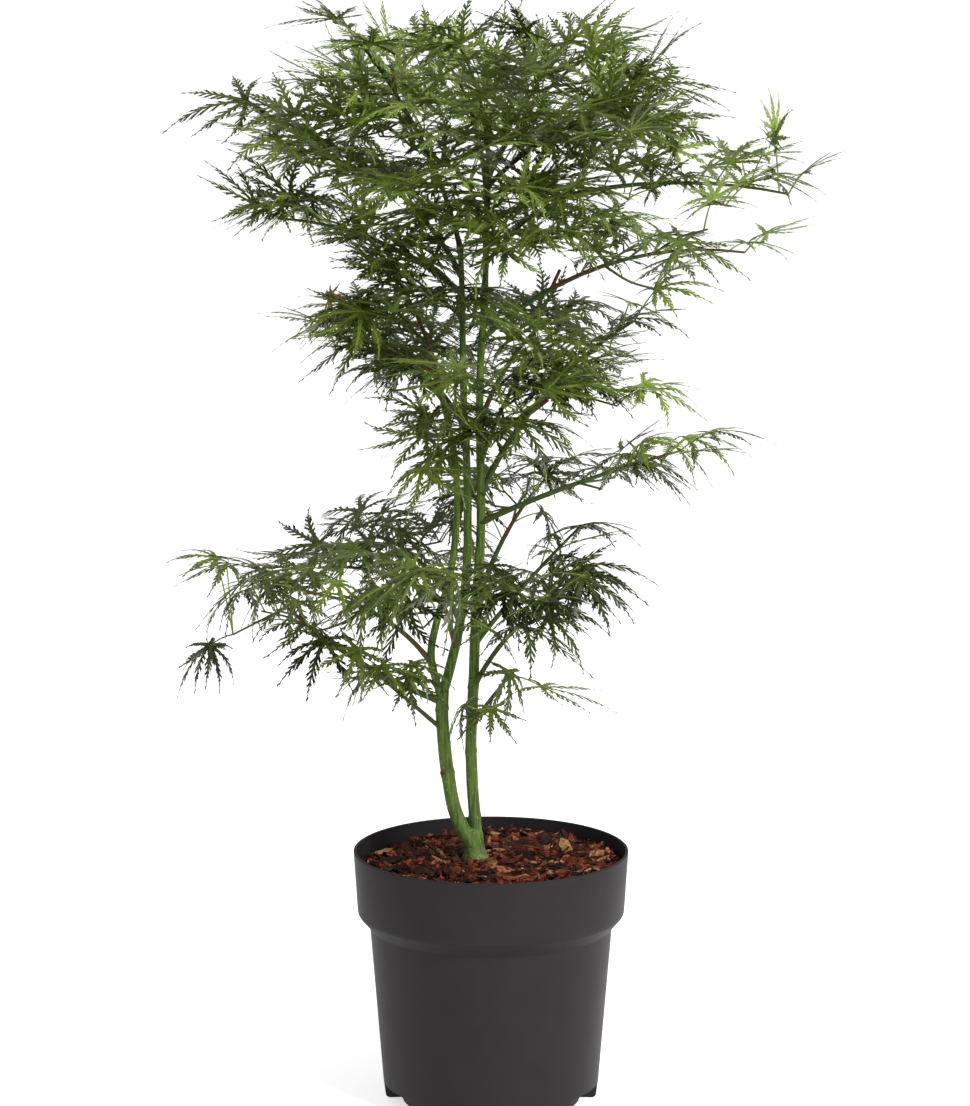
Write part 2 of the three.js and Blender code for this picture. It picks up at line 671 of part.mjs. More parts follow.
function addNode(name, solid, colour, roughness) {
  const material = new THREE.MeshStandardMaterial({ color: colour, roughness, metalness: 0 });
  const mesh = new THREE.Mesh(geometryFrom(solid), material);
  mesh.name = name;
  group.add(mesh);
}

const boxesApart = (a, b, space) =>
  [0, 1, 2].some((i) => a.min[i] > b.max[i] + space || b.min[i] > a.max[i] + space);

// Stems first: each one is cut back from what it grows on by the seat gap.
const trunkCutter = trunkSolid(SEAT_GAP);
const cutters = new Map(
  Object.entries(STEMS).map(([name, stem]) => [name, stemSolid(stem, SEAT_GAP)]),
);
const stemSolids = {
  trunk: trunkSolid(),
  right_stem: stemSolid(STEMS.right_stem),
  left_stem: stemSolid(STEMS.left_stem).subtract(trunkCutter).subtract(cutters.get("right_stem")),
  left_inner: stemSolid(STEMS.left_inner).subtract(cutters.get("left_stem")),
  left_outer: stemSolid(STEMS.left_outer)
    .subtract(cutters.get("left_stem"))
    .subtract(cutters.get("left_inner")),
};
stemSolids.right_stem = stemSolids.right_stem.subtract(trunkCutter);
for (const [name, solid] of Object.entries(stemSolids)) placed.set(name, mainBody(solid));

const pot = makePot();
const mulch = makeMulch(trunkCutter);
addNode("pot", pot, "#3b3739", 0.55);
addNode("bark_mulch", mainBody(mulch), "#4a2f1e", 0.95);
for (const name of Object.keys(stemSolids)) {
  addNode(name, placed.get(name).simplify(0.01), "#55682c", 0.75);
}

// Then every bough, so that no leaf of one limb can cross the bough of another.
const limbs = LIMBS.map((limb) => ({ limb, path: limbPath(limb) }));
const BOUGH_SIDES = 5;
const BOUGH_PIECES = 4;
for (const { limb, path } of limbs) {
  if (limb.bare === 0) continue;
  const radiusAt = (share) => limb.radius * (1 - 0.5 * share);
  const boughPath = pathBetween(path, 0, limb.bare, BOUGH_PIECES);
  const radii = boughPath.map((_, i) => radiusAt((limb.bare * i) / BOUGH_PIECES));
  radii[0] *= 1.25;
  let solid = limbSolid(boughPath, radii, BOUGH_SIDES);
  for (const cutter of cutters.values()) solid = solid.subtract(cutter);
  solid = mainBody(solid);
  placed.set(limb.name + "_bough", solid);
  addNode(limb.name + "_bough", solid.simplify(0.01), "#5a6630", 0.75);
}

// Leaves last. A leaf is free when it stands clear of every other piece and is nearer to its own
// limb than to any other, so that each mass keeps to its own space.
const spineOf = new Map(
  limbs.map(({ limb, path }) => [limb.name, pathBetween(path, limb.bare, 1, 8)]),
);
const nearest = (point, spine) => Math.min(...spine.map((p) => p.distanceTo(point)));
for (const { limb, path } of limbs) placed.set(limb.name + "_leaves", leafyStem(limb, path));
const bounds = new Map([...placed].map(([name, solid]) => [name, solid.boundingBox()]));
let current = [];
function isFree(piece, limbName, place) {
  const own = nearest(place, spineOf.get(limbName));
  for (const [name, spine] of spineOf) {
    if (name !== limbName && nearest(place, spine) < OWN_SPACE * own) return false;
  }
  const box = piece.boundingBox();
  for (const [name, solid] of placed) {
    if (name === limbName + "_leaves") continue;
    if (boxesApart(box, bounds.get(name), 1)) continue;
    if (piece.minGap(solid, 0.6) < GAP_SLACK) return false;
  }
  return true;
}

// Whether a piece comes within the seat gap of any piece of its own mass.
function touches(piece, others) {
  const box = piece.boundingBox();
  return others.some(
    (other) =>
      !boxesApart(box, other.boundingBox(), 1) && piece.minGap(other, 0.6) < GAP_SLACK,
  );
}

let leafCount = 0;
for (const { limb, path } of limbs) {
  const { pieces, leaves } = growMass(limb, path, isFree);
  let solid = Manifold.union(pieces).asOriginal();
  if (limb.bare === 0) solid = solid.subtract(cutters.get(limb.stem));
  solid = settled(solid, SEAM_TOLERANCE);
  const name = limb.name + "_leaves";
  placed.set(name, solid);
  bounds.set(name, solid.boundingBox());
  const tint = new THREE.Color("#4a5a2a").lerp(new THREE.Color("#6b7d3c"), (limb.seed % 5) / 5);
  addNode(name, solid, tint, 0.7);
  leafCount += leaves;
}
console.log(leafCount + " leaves");

export default group;
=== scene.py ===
# %% [markdown]
# # A laceleaf Japanese maple in its nursery pot
# A young maple with finely cut leaves grows from one foot into two stems, and the left stem
# forks again. Its limbs leave the stems in tiers, first bare, then leafy. Everything here is
# computed: a limb is a path with a radius, a leaf is a fan of feathered lobes, and a seeded
# rule says where each twig and leaf stands. The solids of the part are the frame to build in.

import math

import bpy
import numpy as np
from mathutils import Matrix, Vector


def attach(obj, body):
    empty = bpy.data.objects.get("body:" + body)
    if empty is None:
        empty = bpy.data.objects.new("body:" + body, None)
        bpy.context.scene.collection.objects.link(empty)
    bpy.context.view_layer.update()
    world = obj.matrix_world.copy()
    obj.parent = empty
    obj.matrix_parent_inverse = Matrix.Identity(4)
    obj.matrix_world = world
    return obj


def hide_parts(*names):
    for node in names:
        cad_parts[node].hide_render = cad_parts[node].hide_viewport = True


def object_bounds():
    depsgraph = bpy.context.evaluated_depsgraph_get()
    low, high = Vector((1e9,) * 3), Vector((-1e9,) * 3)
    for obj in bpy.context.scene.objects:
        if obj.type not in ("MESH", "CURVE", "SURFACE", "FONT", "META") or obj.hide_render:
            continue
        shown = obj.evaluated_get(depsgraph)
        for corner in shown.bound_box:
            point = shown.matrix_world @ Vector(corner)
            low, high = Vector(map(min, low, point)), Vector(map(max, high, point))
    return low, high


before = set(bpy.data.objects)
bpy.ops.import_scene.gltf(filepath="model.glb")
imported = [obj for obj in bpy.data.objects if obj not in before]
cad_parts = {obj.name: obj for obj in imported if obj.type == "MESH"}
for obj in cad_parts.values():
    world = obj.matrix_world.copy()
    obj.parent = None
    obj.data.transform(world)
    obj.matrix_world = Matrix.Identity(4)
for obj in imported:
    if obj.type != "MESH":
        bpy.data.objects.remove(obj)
solid_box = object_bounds()
MM = 0.001
UP = np.array([0.0, 0.0, 1.0])
node_names = sorted(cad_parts)
leaf_nodes = [name for name in node_names if name.endswith("_leaves")]
bough_nodes = [name for name in node_names if name.endswith("_bough")]
print(len(node_names), "solids,", len(bough_nodes), "boughs,", len(leaf_nodes), "masses")

# %% [markdown]
# ## Colours and materials
# A colour is given as an sRGB hex value, but a shader works in linear light, so one
# function turns the one into the other. A material is a small tree of nodes; one helper adds
# a node, gives it its settings and links its inputs, which keeps each recipe short.

# %% Colour and node helpers
def linear(hex_colour):
    """sRGB hex to linear RGBA: a low value over 12.92, else ((v + 0.055) / 1.055) ** 2.4."""
    value = np.array([int(hex_colour[i : i + 2], 16) for i in (1, 3, 5)]) / 255
    light = np.where(value <= 0.04045, value / 12.92, ((value + 0.055) / 1.055) ** 2.4)
    return (*light.tolist(), 1.0)


def add(tree, kind, settings=None, inputs=None):
    """A node of one kind: settings are its attributes, inputs are values or other sockets."""
    node = tree.nodes.new(kind)
    for key, value in (settings or {}).items():
        setattr(node, key, value)
    for key, value in (inputs or {}).items():
        if isinstance(value, bpy.types.NodeSocket):
            tree.links.new(value, node.inputs[key])
        else:
            node.inputs[key].default_value = value
    return node


def new_material(name, roughness=0.5, specular=0.5):
    """A material with no pattern yet: a Principled shader with two even values, and the output."""
    material = bpy.data.materials.new(name)
    material.use_nodes = True
    tree = material.node_tree
    tree.nodes.clear()
    shader = add(tree, "ShaderNodeBsdfPrincipled",
                 inputs={"Roughness": roughness, "Specular IOR Level": specular})
    add(tree, "ShaderNodeOutputMaterial", inputs={"Surface": shader.outputs["BSDF"]})
    return material, tree, shader


def plain(name, colour, roughness, specular):
    """A material of one colour all over."""
    material, _, shader = new_material(name, roughness, specular)
    shader.inputs["Base Color"].default_value = linear(colour)
    return material


def surface_place(tree):
    """Where a point lies on the object, in metres, so that a pattern stays put in every view."""
    return add(tree, "ShaderNodeTexCoord").outputs["Object"]


def noise(tree, place, size_mm, detail=2.0):
    """Noise from 0 to 1 with blotches about size_mm millimetres wide."""
    return add(tree, "ShaderNodeTexNoise", inputs={
        "Vector": place, "Scale": 1000 / size_mm, "Detail": detail}).outputs["Fac"]


def two_tone(tree, factor, low, high, start, end):
    """A ramp from one hex colour, up to a first factor, to another, from a second one on."""
    ramp = add(tree, "ShaderNodeValToRGB", inputs={"Fac": factor})
    for stop, position, colour in zip(ramp.color_ramp.elements, (start, end), (low, high)):
        stop.position, stop.color = position, linear(colour)
    return ramp.outputs["Color"]


def mapped(tree, value, before, after):
    """A value carried evenly from one pair of ends to another, and held at both ends."""
    return add(tree, "ShaderNodeMapRange", inputs={
        "Value": value, "From Min": before[0], "From Max": before[1],
        "To Min": after[0], "To Max": after[1]}).outputs["Result"]


def computed(tree, operation, *values):
    """One step of arithmetic on sockets or numbers."""
    return add(tree, "ShaderNodeMath", {"operation": operation},
               dict(enumerate(values))).outputs["Value"]


def blended(tree, factor, under, over):
    """Colour = (1 - factor) under + factor over."""
    return add(tree, "ShaderNodeMix", {"data_type": "RGBA"},
               {"Factor": factor, "A": under, "B": over}).outputs["Result"]


def bumps(tree, shader, height, depth_mm, strength):
    """A pattern becomes small bumps in the shading."""
    node = add(tree, "ShaderNodeBump", inputs={
        "Height": height, "Distance": MM * depth_mm, "Strength": strength})
    tree.links.new(node.outputs["Normal"], shader.inputs["Normal"])


print("helpers ready; mid grey is", [round(v, 3) for v in linear("#808080")[:3]])

# %% [markdown]
# ## Turning arrays into pieces
# Thousands of leaves are quick to make when they are one array of points and one array of
# triangles. This helper fills a mesh from such arrays in one go, hangs it on the body of the
# part, gives it its materials and hides the solids that it stands for.

# %% Mesh helper
def joined(parts):
    """Several (points, triangles) pairs as one: each part's corner numbers are shifted."""
    shifts = np.cumsum([0] + [len(points) for points, _ in parts[:-1]])
    points = np.concatenate([points for points, _ in parts])
    triangles = np.concatenate([t + shift for (_, t), shift in zip(parts, shifts)])
    return points, triangles


def put(name, data):
    """A new object that holds the data, linked to the scene."""
    thing = bpy.data.objects.new(name, data)
    bpy.context.scene.collection.objects.link(thing)
    return thing


def make_piece(name, parts, materials, replaces=(), smooth=False, material_of=None):
    """Parts in millimetres become one mesh in metres, whose place is in its points."""
    points, triangles = joined(parts)
    mesh = bpy.data.meshes.new(name)
    count = len(triangles)
    mesh.vertices.add(len(points))
    mesh.vertices.foreach_set("co", (points * MM).ravel())
    mesh.loops.add(3 * count)
    mesh.loops.foreach_set("vertex_index", triangles.astype(np.int32).ravel())
    mesh.polygons.add(count)
    mesh.polygons.foreach_set("loop_start", np.arange(0, 3 * count, 3, dtype=np.int32))
    mesh.polygons.foreach_set("loop_total", np.full(count, 3, np.int32))
    for material in materials:
        mesh.materials.append(material)
    if material_of is not None:
        mesh.polygons.foreach_set("material_index", material_of.astype(np.int32))
    mesh.polygons.foreach_set("use_smooth", np.full(count, smooth))
    mesh.update(calc_edges=True)
    piece = put(name, mesh)
    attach(piece, "root")
    if replaces:
        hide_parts(*replaces)
    print(f"{name}: {count} triangles")
    return piece


def grid_triangles(rows, columns, wrap=True):
    """Two triangles for each cell of a grid of points; wrap joins the last column to the first."""
    r, c = np.meshgrid(np.arange(rows - 1), np.arange(columns if wrap else columns - 1),
                       indexing="ij")
    a = r * columns + c
    b = r * columns + (c + 1) % columns
    cell = np.stack([a, b, a + columns, b, b + columns, a + columns], axis=-1)
    return cell.reshape(-1, 3)


def copies(one, count, size):
    """The triangles of count small meshes in a row, each of the same size in points."""
    return (one + size * np.arange(count)[:, None, None]).reshape(-1, 3)


print("mesh helpers ready; one cell of a grid is", grid_triangles(2, 2, wrap=False).tolist())

# %% [markdown]
# ## The pot
# The pot is a nursery container, drawn from a warm sheet of recycled polypropylene over a
# mould. It is round, so a profile turned about the axis makes it: foot, tapering body, a
# step out to the deep collar, a thin lip and the inside again. Five drain notches are cut
# from its bottom corner. In a notch the profile takes a second shape, and at both ends the
# one goes over into the other along a quarter circle, so that the notch's roof comes down in
# a curve.

# %% Pot profile
POT_HEIGHT = 177.0
RIM_RADIUS = 95.0
COLLAR_FOOT_RADIUS = 92.2
COLLAR_FOOT_HEIGHT = 133.0
BODY_TOP_RADIUS = 83.9
BODY_TOP_HEIGHT = 123.5
BODY_FOOT_RADIUS = 73.9
WALL = 2.0
FLOOR = 15.0  # height of the inside of the floor
DRAIN_MIDDLES = np.array([-155.5, -90.0, -24.5, 54.0, 126.0])  # degrees, counted from +X
DRAIN_HEIGHT = 12.5
DRAIN_DEPTH = 12.0
DRAIN_SPAN = 41.0  # degrees of the foot that a notch takes
DRAIN_CORNER = 7.0  # degrees over which the notch's roof comes down in a curve at each end


def arc(start, knee, end, steps):
    """Points on a quadratic curve: (1 - t)^2 start + 2 t (1 - t) knee + t^2 end."""
    t = np.linspace(0, 1, steps)[:, None]
    return (1 - t) ** 2 * start + 2 * t * (1 - t) * knee + t**2 * end


def rounded(corner, before, after, radius, steps=5):
    """A corner of a profile as an arc that begins and ends on its two arms."""
    corner, before, after = (np.array(p, float) for p in (corner, before, after))
    start = corner + radius * (before - corner) / np.linalg.norm(before - corner)
    end = corner + radius * (after - corner) / np.linalg.norm(after - corner)
    return arc(start, corner, end, steps)


def pot_profiles():
    """The profile between the notches and the one inside them, as (radius, height) rows.
    Both have the same number of rows, so that a column of the mesh may also lie between."""
    foot = (BODY_FOOT_RADIUS - 0.3, 0.0)
    top = (BODY_TOP_RADIUS, BODY_TOP_HEIGHT)
    collar = (COLLAR_FOOT_RADIUS, COLLAR_FOOT_HEIGHT)
    rim = (RIM_RADIUS, POT_HEIGHT)
    inner_rim = (RIM_RADIUS - WALL, POT_HEIGHT)
    upper = np.vstack([
        rounded(top, (BODY_FOOT_RADIUS, 3.6), collar, 1.0),
        rounded(collar, top, rim, 2.0),
        rounded(rim, collar, inner_rim, 0.9),
        rounded(inner_rim, rim, (COLLAR_FOOT_RADIUS - WALL, COLLAR_FOOT_HEIGHT), 0.6),
        [(COLLAR_FOOT_RADIUS - WALL, COLLAR_FOOT_HEIGHT + 0.6),
         (BODY_TOP_RADIUS - WALL, BODY_TOP_HEIGHT + 0.6),
         (BODY_FOOT_RADIUS - WALL, FLOOR), (0.0, FLOOR)],
    ])
    deep = BODY_FOOT_RADIUS - DRAIN_DEPTH
    rise = DRAIN_HEIGHT / BODY_TOP_HEIGHT
    wall_radius = BODY_FOOT_RADIUS + rise * (BODY_TOP_RADIUS - BODY_FOOT_RADIUS)
    corner = rounded(foot, (0, 0), (BODY_FOOT_RADIUS, 20), 3.6, steps=6)
    above = [(wall_radius, DRAIN_HEIGHT + 0.2), (wall_radius + 0.16, DRAIN_HEIGHT + 2.2)]
    between = np.vstack([[(0, 0), (deep, 0)], corner, above])
    roof = np.linspace((deep, DRAIN_HEIGHT), (wall_radius - 0.4, DRAIN_HEIGHT), 6)
    inside = np.vstack([[(0, 0), (deep, 0)], roof, above])
    return np.vstack([between, upper]), np.vstack([inside, upper])


between, inside = pot_profiles()
print("a pot profile has", len(between), "points, and so has one through a notch:", len(inside))

# %% [markdown]
# ## Turning the pot
# A turned profile is a grid: one column of points for each angle, and two triangles for each
# cell of the grid. Even angles would cut a notch off anywhere, so extra columns stand just
# where a notch begins, where its corner is round and where it ends.

# %% Pot mesh
def pot_mesh(turns=300):
    """Point = (r cos a, r sin a, h), with more columns where a notch begins and ends. There
    the profile goes over from one to the other by a quarter circle, sqrt(1 - (1 - c)^2)."""
    angles = np.linspace(0, 360, turns, endpoint=False)
    half = DRAIN_SPAN / 2
    into = np.linspace(0, DRAIN_CORNER, 7)
    extra = [(middle + hand * (half - step)) % 360 for middle in DRAIN_MIDDLES
             for hand in (-1, 1) for step in (*into, -1e-3)]
    angles = np.unique(np.concatenate([angles, extra]).round(4))
    off = np.abs((angles[:, None] - DRAIN_MIDDLES + 180) % 360 - 180).min(axis=1)
    curve = np.clip((half - off) / DRAIN_CORNER, 0, 1)
    share = np.where(off <= half, np.maximum(0.25, np.sqrt(1 - (1 - curve) ** 2)), 0)
    turn = np.radians(angles)
    profile = between[:, None] + share[None, :, None] * (inside - between)[:, None]
    x = profile[..., 0] * np.cos(turn)
    y = profile[..., 0] * np.sin(turn)
    points = np.stack([x, y, profile[..., 1]], axis=-1).reshape(-1, 3)
    return points, grid_triangles(len(between), len(angles))


pot_part = pot_mesh()
print("pot mouth", 2 * pot_part[0][:, 0].max(), "mm, height", pot_part[0][:, 2].max(), "mm")

# %% [markdown]
# ## Pot finish
# The sheet is dark recycled plastic, never quite even in tone. Large soft noise gives the
# scuffs where the pot was handled, and the same noise makes those places duller. A very fine
# noise is the pebble of the skin. Its bumps are in the shading alone, because a mesh that
# held them would need millions of points.

# %% Pot finish
# Recycled polypropylene, thermoformed: a satin skin with a faint pebble, dull where handled.
PEBBLE_MM, SCUFF_MM = 0.9, 30.0
STEP_HEIGHT = (BODY_TOP_HEIGHT + COLLAR_FOOT_HEIGHT) / 2
STEP_SHADE_FADE = (0.0045, 0.0062)  # metres from the step's middle between which its painted shade fades
pot_plastic, tree, shader = new_material("recycled_polypropylene", specular=0.1)
place = surface_place(tree)
scuff = noise(tree, place, SCUFF_MM, 6.0)
skin = two_tone(tree, scuff, "#232021", "#282425", 0.3, 0.75)
# Painted shade: the step below the collar faces down to the bright floor, so its base colour is
# blended a little towards near black to keep it no lighter than the body.
height = add(tree, "ShaderNodeSeparateXYZ", inputs={"Vector": place}).outputs["Z"]
from_step = computed(tree, "ABSOLUTE", computed(tree, "SUBTRACT", height, MM * STEP_HEIGHT))
painted_step_shade = mapped(tree, from_step, STEP_SHADE_FADE, (0.3, 0.0))
tree.links.new(blended(tree, painted_step_shade, skin, linear("#0e0c0c")), shader.inputs["Base Color"])
tree.links.new(mapped(tree, scuff, (0, 1), (0.42, 0.58)), shader.inputs["Roughness"])
bumps(tree, shader, noise(tree, place, PEBBLE_MM), 0.1, 0.25)

pot = make_piece("nursery_pot", [pot_part], [pot_plastic], ["pot"], smooth=True)
pot.data.set_sharp_from_angle(angle=math.radians(35))

# %% [markdown]
# ## Seeded numbers and paths
# The growth rule draws its chances from a small generator that always gives the same row of
# numbers for the same seed. A stem's middle line is a smooth curve through a few stations; a
# limb's is a chain of short steps whose heading and climb change evenly.

# %% Numbers and paths
def seeded(seed):
    """Each draw is state = (1664525 state + 1013904223) mod 2**32, as a share of 2**32."""
    state = [seed]

    def unit():
        state[0] = (state[0] * 1664525 + 1013904223) % 4294967296
        return state[0] / 4294967296

    def between(low, high):
        return low + (high - low) * unit()

    def spread(half):
        return half * (2 * unit() - 1)

    return unit, between, spread


def smooth_path(stations, steps):
    """A centripetal Catmull-Rom curve through the stations, resampled at equal lengths."""
    p = np.array(stations, float)
    p = np.vstack([2 * p[0] - p[1], p, 2 * p[-1] - p[-2]])
    a, b, c, d = p[:-3], p[1:-2], p[2:-1], p[3:]
    ab, bc, cd = (np.sqrt(np.linalg.norm(q, axis=1))[:, None] for q in (b - a, c - b, d - c))
    leave = ((b - a) / ab - (c - a) / (ab + bc) + (c - b) / bc) * bc
    reach = ((c - b) / bc - (d - b) / (bc + cd) + (d - c) / cd) * bc
    t = np.linspace(0, 1, 60)[None, :, None]
    spans = (b[:, None] + leave[:, None] * t
             + (3 * (c - b) - 2 * leave - reach)[:, None] * t**2
             + (2 * (b - c) + leave + reach)[:, None] * t**3).reshape(-1, 3)
    run = np.append(0, np.cumsum(np.linalg.norm(np.diff(spans, axis=0), axis=1)))
    wanted = np.linspace(0, run[-1], steps)
    return np.stack([np.interp(wanted, run, spans[:, i]) for i in range(3)], axis=1)


def direction(heading, rise):
    """The unit vector that heads out in plan at one angle and climbs at another, in degrees."""
    h, r = np.radians(heading), np.radians(rise)
    return np.array([np.cos(h) * np.cos(r), np.sin(h) * np.cos(r), np.sin(r)])


def resampled(path, shares):
    """The points at given shares of the way along a path of equal steps."""
    place = np.clip(shares, 0, 1) * (len(path) - 1)
    return np.stack([np.interp(place, np.arange(len(path)), path[:, i]) for i in range(3)], 1)


# %% [markdown]
# ## Tubes
# Stems, limbs, twigs, stalks and stubs are all tubes: rings of points about a path. A curve
# object with a bevel would make a round one too, but not one with a relief. Here each ring
# gets its own radius at each angle. The ring's own directions are carried on from one point
# of the path to the next, so that a tube doesn't twist.

# %% Tubes
def tube_frames(path):
    """Along, side and other unit vectors at each point: side starts level and is carried on."""
    along = np.gradient(path, axis=0)
    along /= np.linalg.norm(along, axis=1)[:, None]
    side = np.empty_like(path)
    first = np.cross(along[0], UP if abs(along[0][2]) < 0.9 else np.array([0.0, 1.0, 0.0]))
    side[0] = first / np.linalg.norm(first)
    for i in range(1, len(path)):
        carried = side[i - 1] - along[i] * (side[i - 1] @ along[i])
        side[i] = carried / np.linalg.norm(carried)
    return along, side, np.cross(along, side)


def tube(path, radius, sides, relief=None):
    """Point = path + radius (cos a side + sin a other); relief(a, length) adds to radius."""
    _, side, other = tube_frames(path)
    turn = np.linspace(0, 2 * np.pi, sides, endpoint=False)
    run = np.append(0, np.cumsum(np.linalg.norm(np.diff(path, axis=0), axis=1)))
    reach = np.broadcast_to(np.asarray(radius, float)[:, None], (len(path), sides))
    if relief is not None:
        reach = reach + relief(turn[None, :], run[:, None]) * np.minimum(1, reach / 4)
    ring = (np.cos(turn)[None, :, None] * side[:, None]
            + np.sin(turn)[None, :, None] * other[:, None])
    points = path[:, None] + reach[..., None] * ring
    ends = np.stack([path[0], path[-1]])
    count = len(path) * sides
    k = np.arange(sides)
    low = np.stack([np.full(sides, count), (k + 1) % sides, k], axis=1)
    top = np.stack([np.full(sides, count + 1), count - sides + k,
                    count - sides + (k + 1) % sides], axis=1)
    faces = np.vstack([grid_triangles(len(path), sides), low, top])
    return np.vstack([points.reshape(-1, 3), ends]), faces


print("tube helper ready")

# %% [markdown]
# ## Stems and bark
# The foot is one short trunk with a root flare, and both stems rise from it. Maple bark is
# smooth and green when young, with shallow lengthwise streaks, small pale pores and a ring
# wherever a pair of branches stood. So a stem is a tube about its path, and its radius gets
# a relief: soft waves stretched along the stem, and a swelling at each ring.

# %% Bark relief and trunk
RING_SPACING = 46.0  # millimetres between two old leaf rings


def bark_relief(phase):
    """Streaks: waves with many turns round and few along. Rings: narrow bells on the length."""
    def relief(turn, run):
        streak = (0.10 * np.sin(7 * turn + run / 19 + phase)
                  + 0.07 * np.sin(11 * turn - run / 13 + 2 * phase)
                  + 0.05 * np.sin(3 * turn + run / 5.3 + phase))
        to_ring = (run + 9 * phase) % RING_SPACING - RING_SPACING / 2
        tilt = 0.8 * np.sin(turn + phase)
        ring = 0.5 * np.exp(-(((to_ring + tilt) / 1.9) ** 2))
        groove = -0.22 * np.exp(-(((to_ring + tilt + 1.6) / 0.6) ** 2))
        return streak + ring + groove
    return relief


TRUNK_FOOT = np.array([-10.4, 0.0, 170.8])
TRUNK_TOP = np.array([-13.2, 0.5, 187.0])
TRUNK_RADIUS = 6.6
TRUNK_FLARE = 2.3
TRUNK_TOP_HALF_WIDTH = 7.9
TRUNK_TOP_HALF_DEPTH = 5.4
CROTCH_HEIGHT = 6.5
BELOW_GROUND = -0.16  # the trunk's mesh starts this share of its length under the mulch


def trunk_mesh(levels=26, sides=56):
    """Ellipse = (width + buttress) cos a, (depth + buttress) sin a; buttress fades by share**4.
    Above the fork the ellipse shrinks to a point, which fills the crotch with a saddle."""
    share = np.linspace(BELOW_GROUND, 1.0, levels)[:, None]
    turn = np.linspace(0, 2 * np.pi, sides, endpoint=False)[None, :]
    s = np.clip(share, 0, 1)
    middle = TRUNK_FOOT + share[..., None] * (TRUNK_TOP - TRUNK_FOOT)
    flare = TRUNK_FLARE * (1 - s) ** 4 * (1 + 0.35 * np.cos(4 * turn + 0.6))
    flare = flare + 0.16 * np.sin(9 * turn + 5 * s) + 0.1 * np.sin(17 * turn - 9 * s)
    width = TRUNK_RADIUS + (TRUNK_TOP_HALF_WIDTH - TRUNK_RADIUS) * s**1.5
    depth = TRUNK_RADIUS + (TRUNK_TOP_HALF_DEPTH - TRUNK_RADIUS) * s
    body = middle + np.stack([(width + flare) * np.cos(turn), (depth + flare) * np.sin(turn),
                              0 * turn * s], axis=-1)
    dome = np.radians(np.linspace(12, 84, 7))[:, None]
    cap = TRUNK_TOP + np.stack([TRUNK_TOP_HALF_WIDTH * np.cos(dome) * np.cos(turn),
                                TRUNK_TOP_HALF_DEPTH * np.cos(dome) * np.sin(turn),
                                CROTCH_HEIGHT * np.sin(dome) + 0 * turn], axis=-1)
    points = np.concatenate([body, cap]).reshape(-1, 3)
    return points, grid_triangles(levels + 7, sides)


stem_parts = [trunk_mesh()]
print("trunk", TRUNK_FOOT, "to", TRUNK_TOP)

# %% [markdown]
# ## Four stems
# A stem is written down as a few stations of its middle line, low to high, and its radius
# at both ends. The helper above draws a smooth path through them, and each tube starts a
# little way inside what it grows from, so that no gap shows at the fork.

# %% Stems
STEMS = {
    "right_stem": ([(-10.2, 1.5, 187.3), (-13.1, 1, 227), (-13.8, 1, 253), (-12.2, 1, 290),
                    (-9.6, 2, 358), (-7, 3, 401), (-7.6, 3, 501), (-4.1, 2, 569),
                    (-1.8, 0, 648)], (4.3, 1.7)),
    "left_stem": ([(-16.6, -1, 186), (-24.6, -2, 204), (-30.3, -2, 234), (-33.5, -2, 270),
                   (-33.1, -2, 289)], (4.9, 4.3)),
    "left_inner": ([(-32.6, -1.9, 289.3), (-28.1, 0, 305), (-22, 2, 332), (-16.8, 4, 370),
                    (-16.4, 5, 435), (-19, 5, 504), (-19.6, 4, 560), (-20.6, 3, 592)],
                   (3.5, 1.8)),
    "left_outer": ([(-34.5, -3.2, 285), (-41, -5, 314), (-37.6, -6, 336), (-28.2, -7, 369),
                    (-23, -7, 420), (-25.6, -8, 455), (-34.6, -9, 501)], (2.8, 1.9)),
}
STEM_STEP = 1.5  # millimetres between two rings of a stem's mesh
STEM_SIDES = 28
SUNK = 7.0  # millimetres that a stem starts inside what it grows from
stem_paths = {}
for number, (name, (stations, radii)) in enumerate(STEMS.items()):
    length = sum(math.dist(a, b) for a, b in zip(stations, stations[1:]))
    path = smooth_path(stations, int(length / STEM_STEP))
    stem_paths[name] = path
    start = path[0] - SUNK * (path[1] - path[0]) / np.linalg.norm(path[1] - path[0])
    rooted = np.vstack([np.linspace(start, path[0], 6)[:-1], path])
    share = np.linspace(0, 1, len(rooted))
    radius = radii[0] + (radii[1] - radii[0]) * share
    stem_parts.append(tube(rooted, radius, STEM_SIDES, bark_relief(1.3 * number + 0.4)))
print("stems", {name: round(len(path) * STEM_STEP) for name, path in stem_paths.items()}, "mm")

# %% [markdown]
# ## Bark finish
# Young maple bark is green because light passes its thin skin, with a waxy sheen. Old scurf
# whitens the foot of the trunk, and fine darker streaks run lengthwise. Noise stretched
# along the height gives the streaks, a sharp noise the pores, and the height itself says
# where the whitish foot ends.

# %% Bark material
STREAK_MM, PORE_MM, SCURF_MM = 1.6, 2.4, 1000 / 420
ALONG = 0.09  # a pattern's scale along the height, as a share of its scale across
SCURF_FADE = (0.176, 0.235)  # heights in metres between which the whitish foot ends
green_bark, tree, shader = new_material("young_maple_bark", 0.55, 0.2)
place = surface_place(tree)
stretched = add(tree, "ShaderNodeMapping",
                inputs={"Vector": place, "Scale": (1, 1, ALONG)}).outputs["Vector"]
streaks = noise(tree, stretched, STREAK_MM, 4.0)
skin = two_tone(tree, streaks, "#2b400f", "#5b7226", 0.34, 0.68)
pores = two_tone(tree, noise(tree, place, PORE_MM), "#000000", "#ffffff", 0.66, 0.74)
speckled = blended(tree, pores, skin, linear("#84905f"))
height = add(tree, "ShaderNodeSeparateXYZ", inputs={"Vector": place}).outputs["Z"]
scurf = computed(tree, "MULTIPLY", mapped(tree, height, SCURF_FADE, (0.2, 0.0)),
                 noise(tree, stretched, SCURF_MM, 5.0))
tree.links.new(blended(tree, scurf, speckled, linear("#8fa07a")), shader.inputs["Base Color"])
bumps(tree, shader, streaks, 0.4, 0.5)
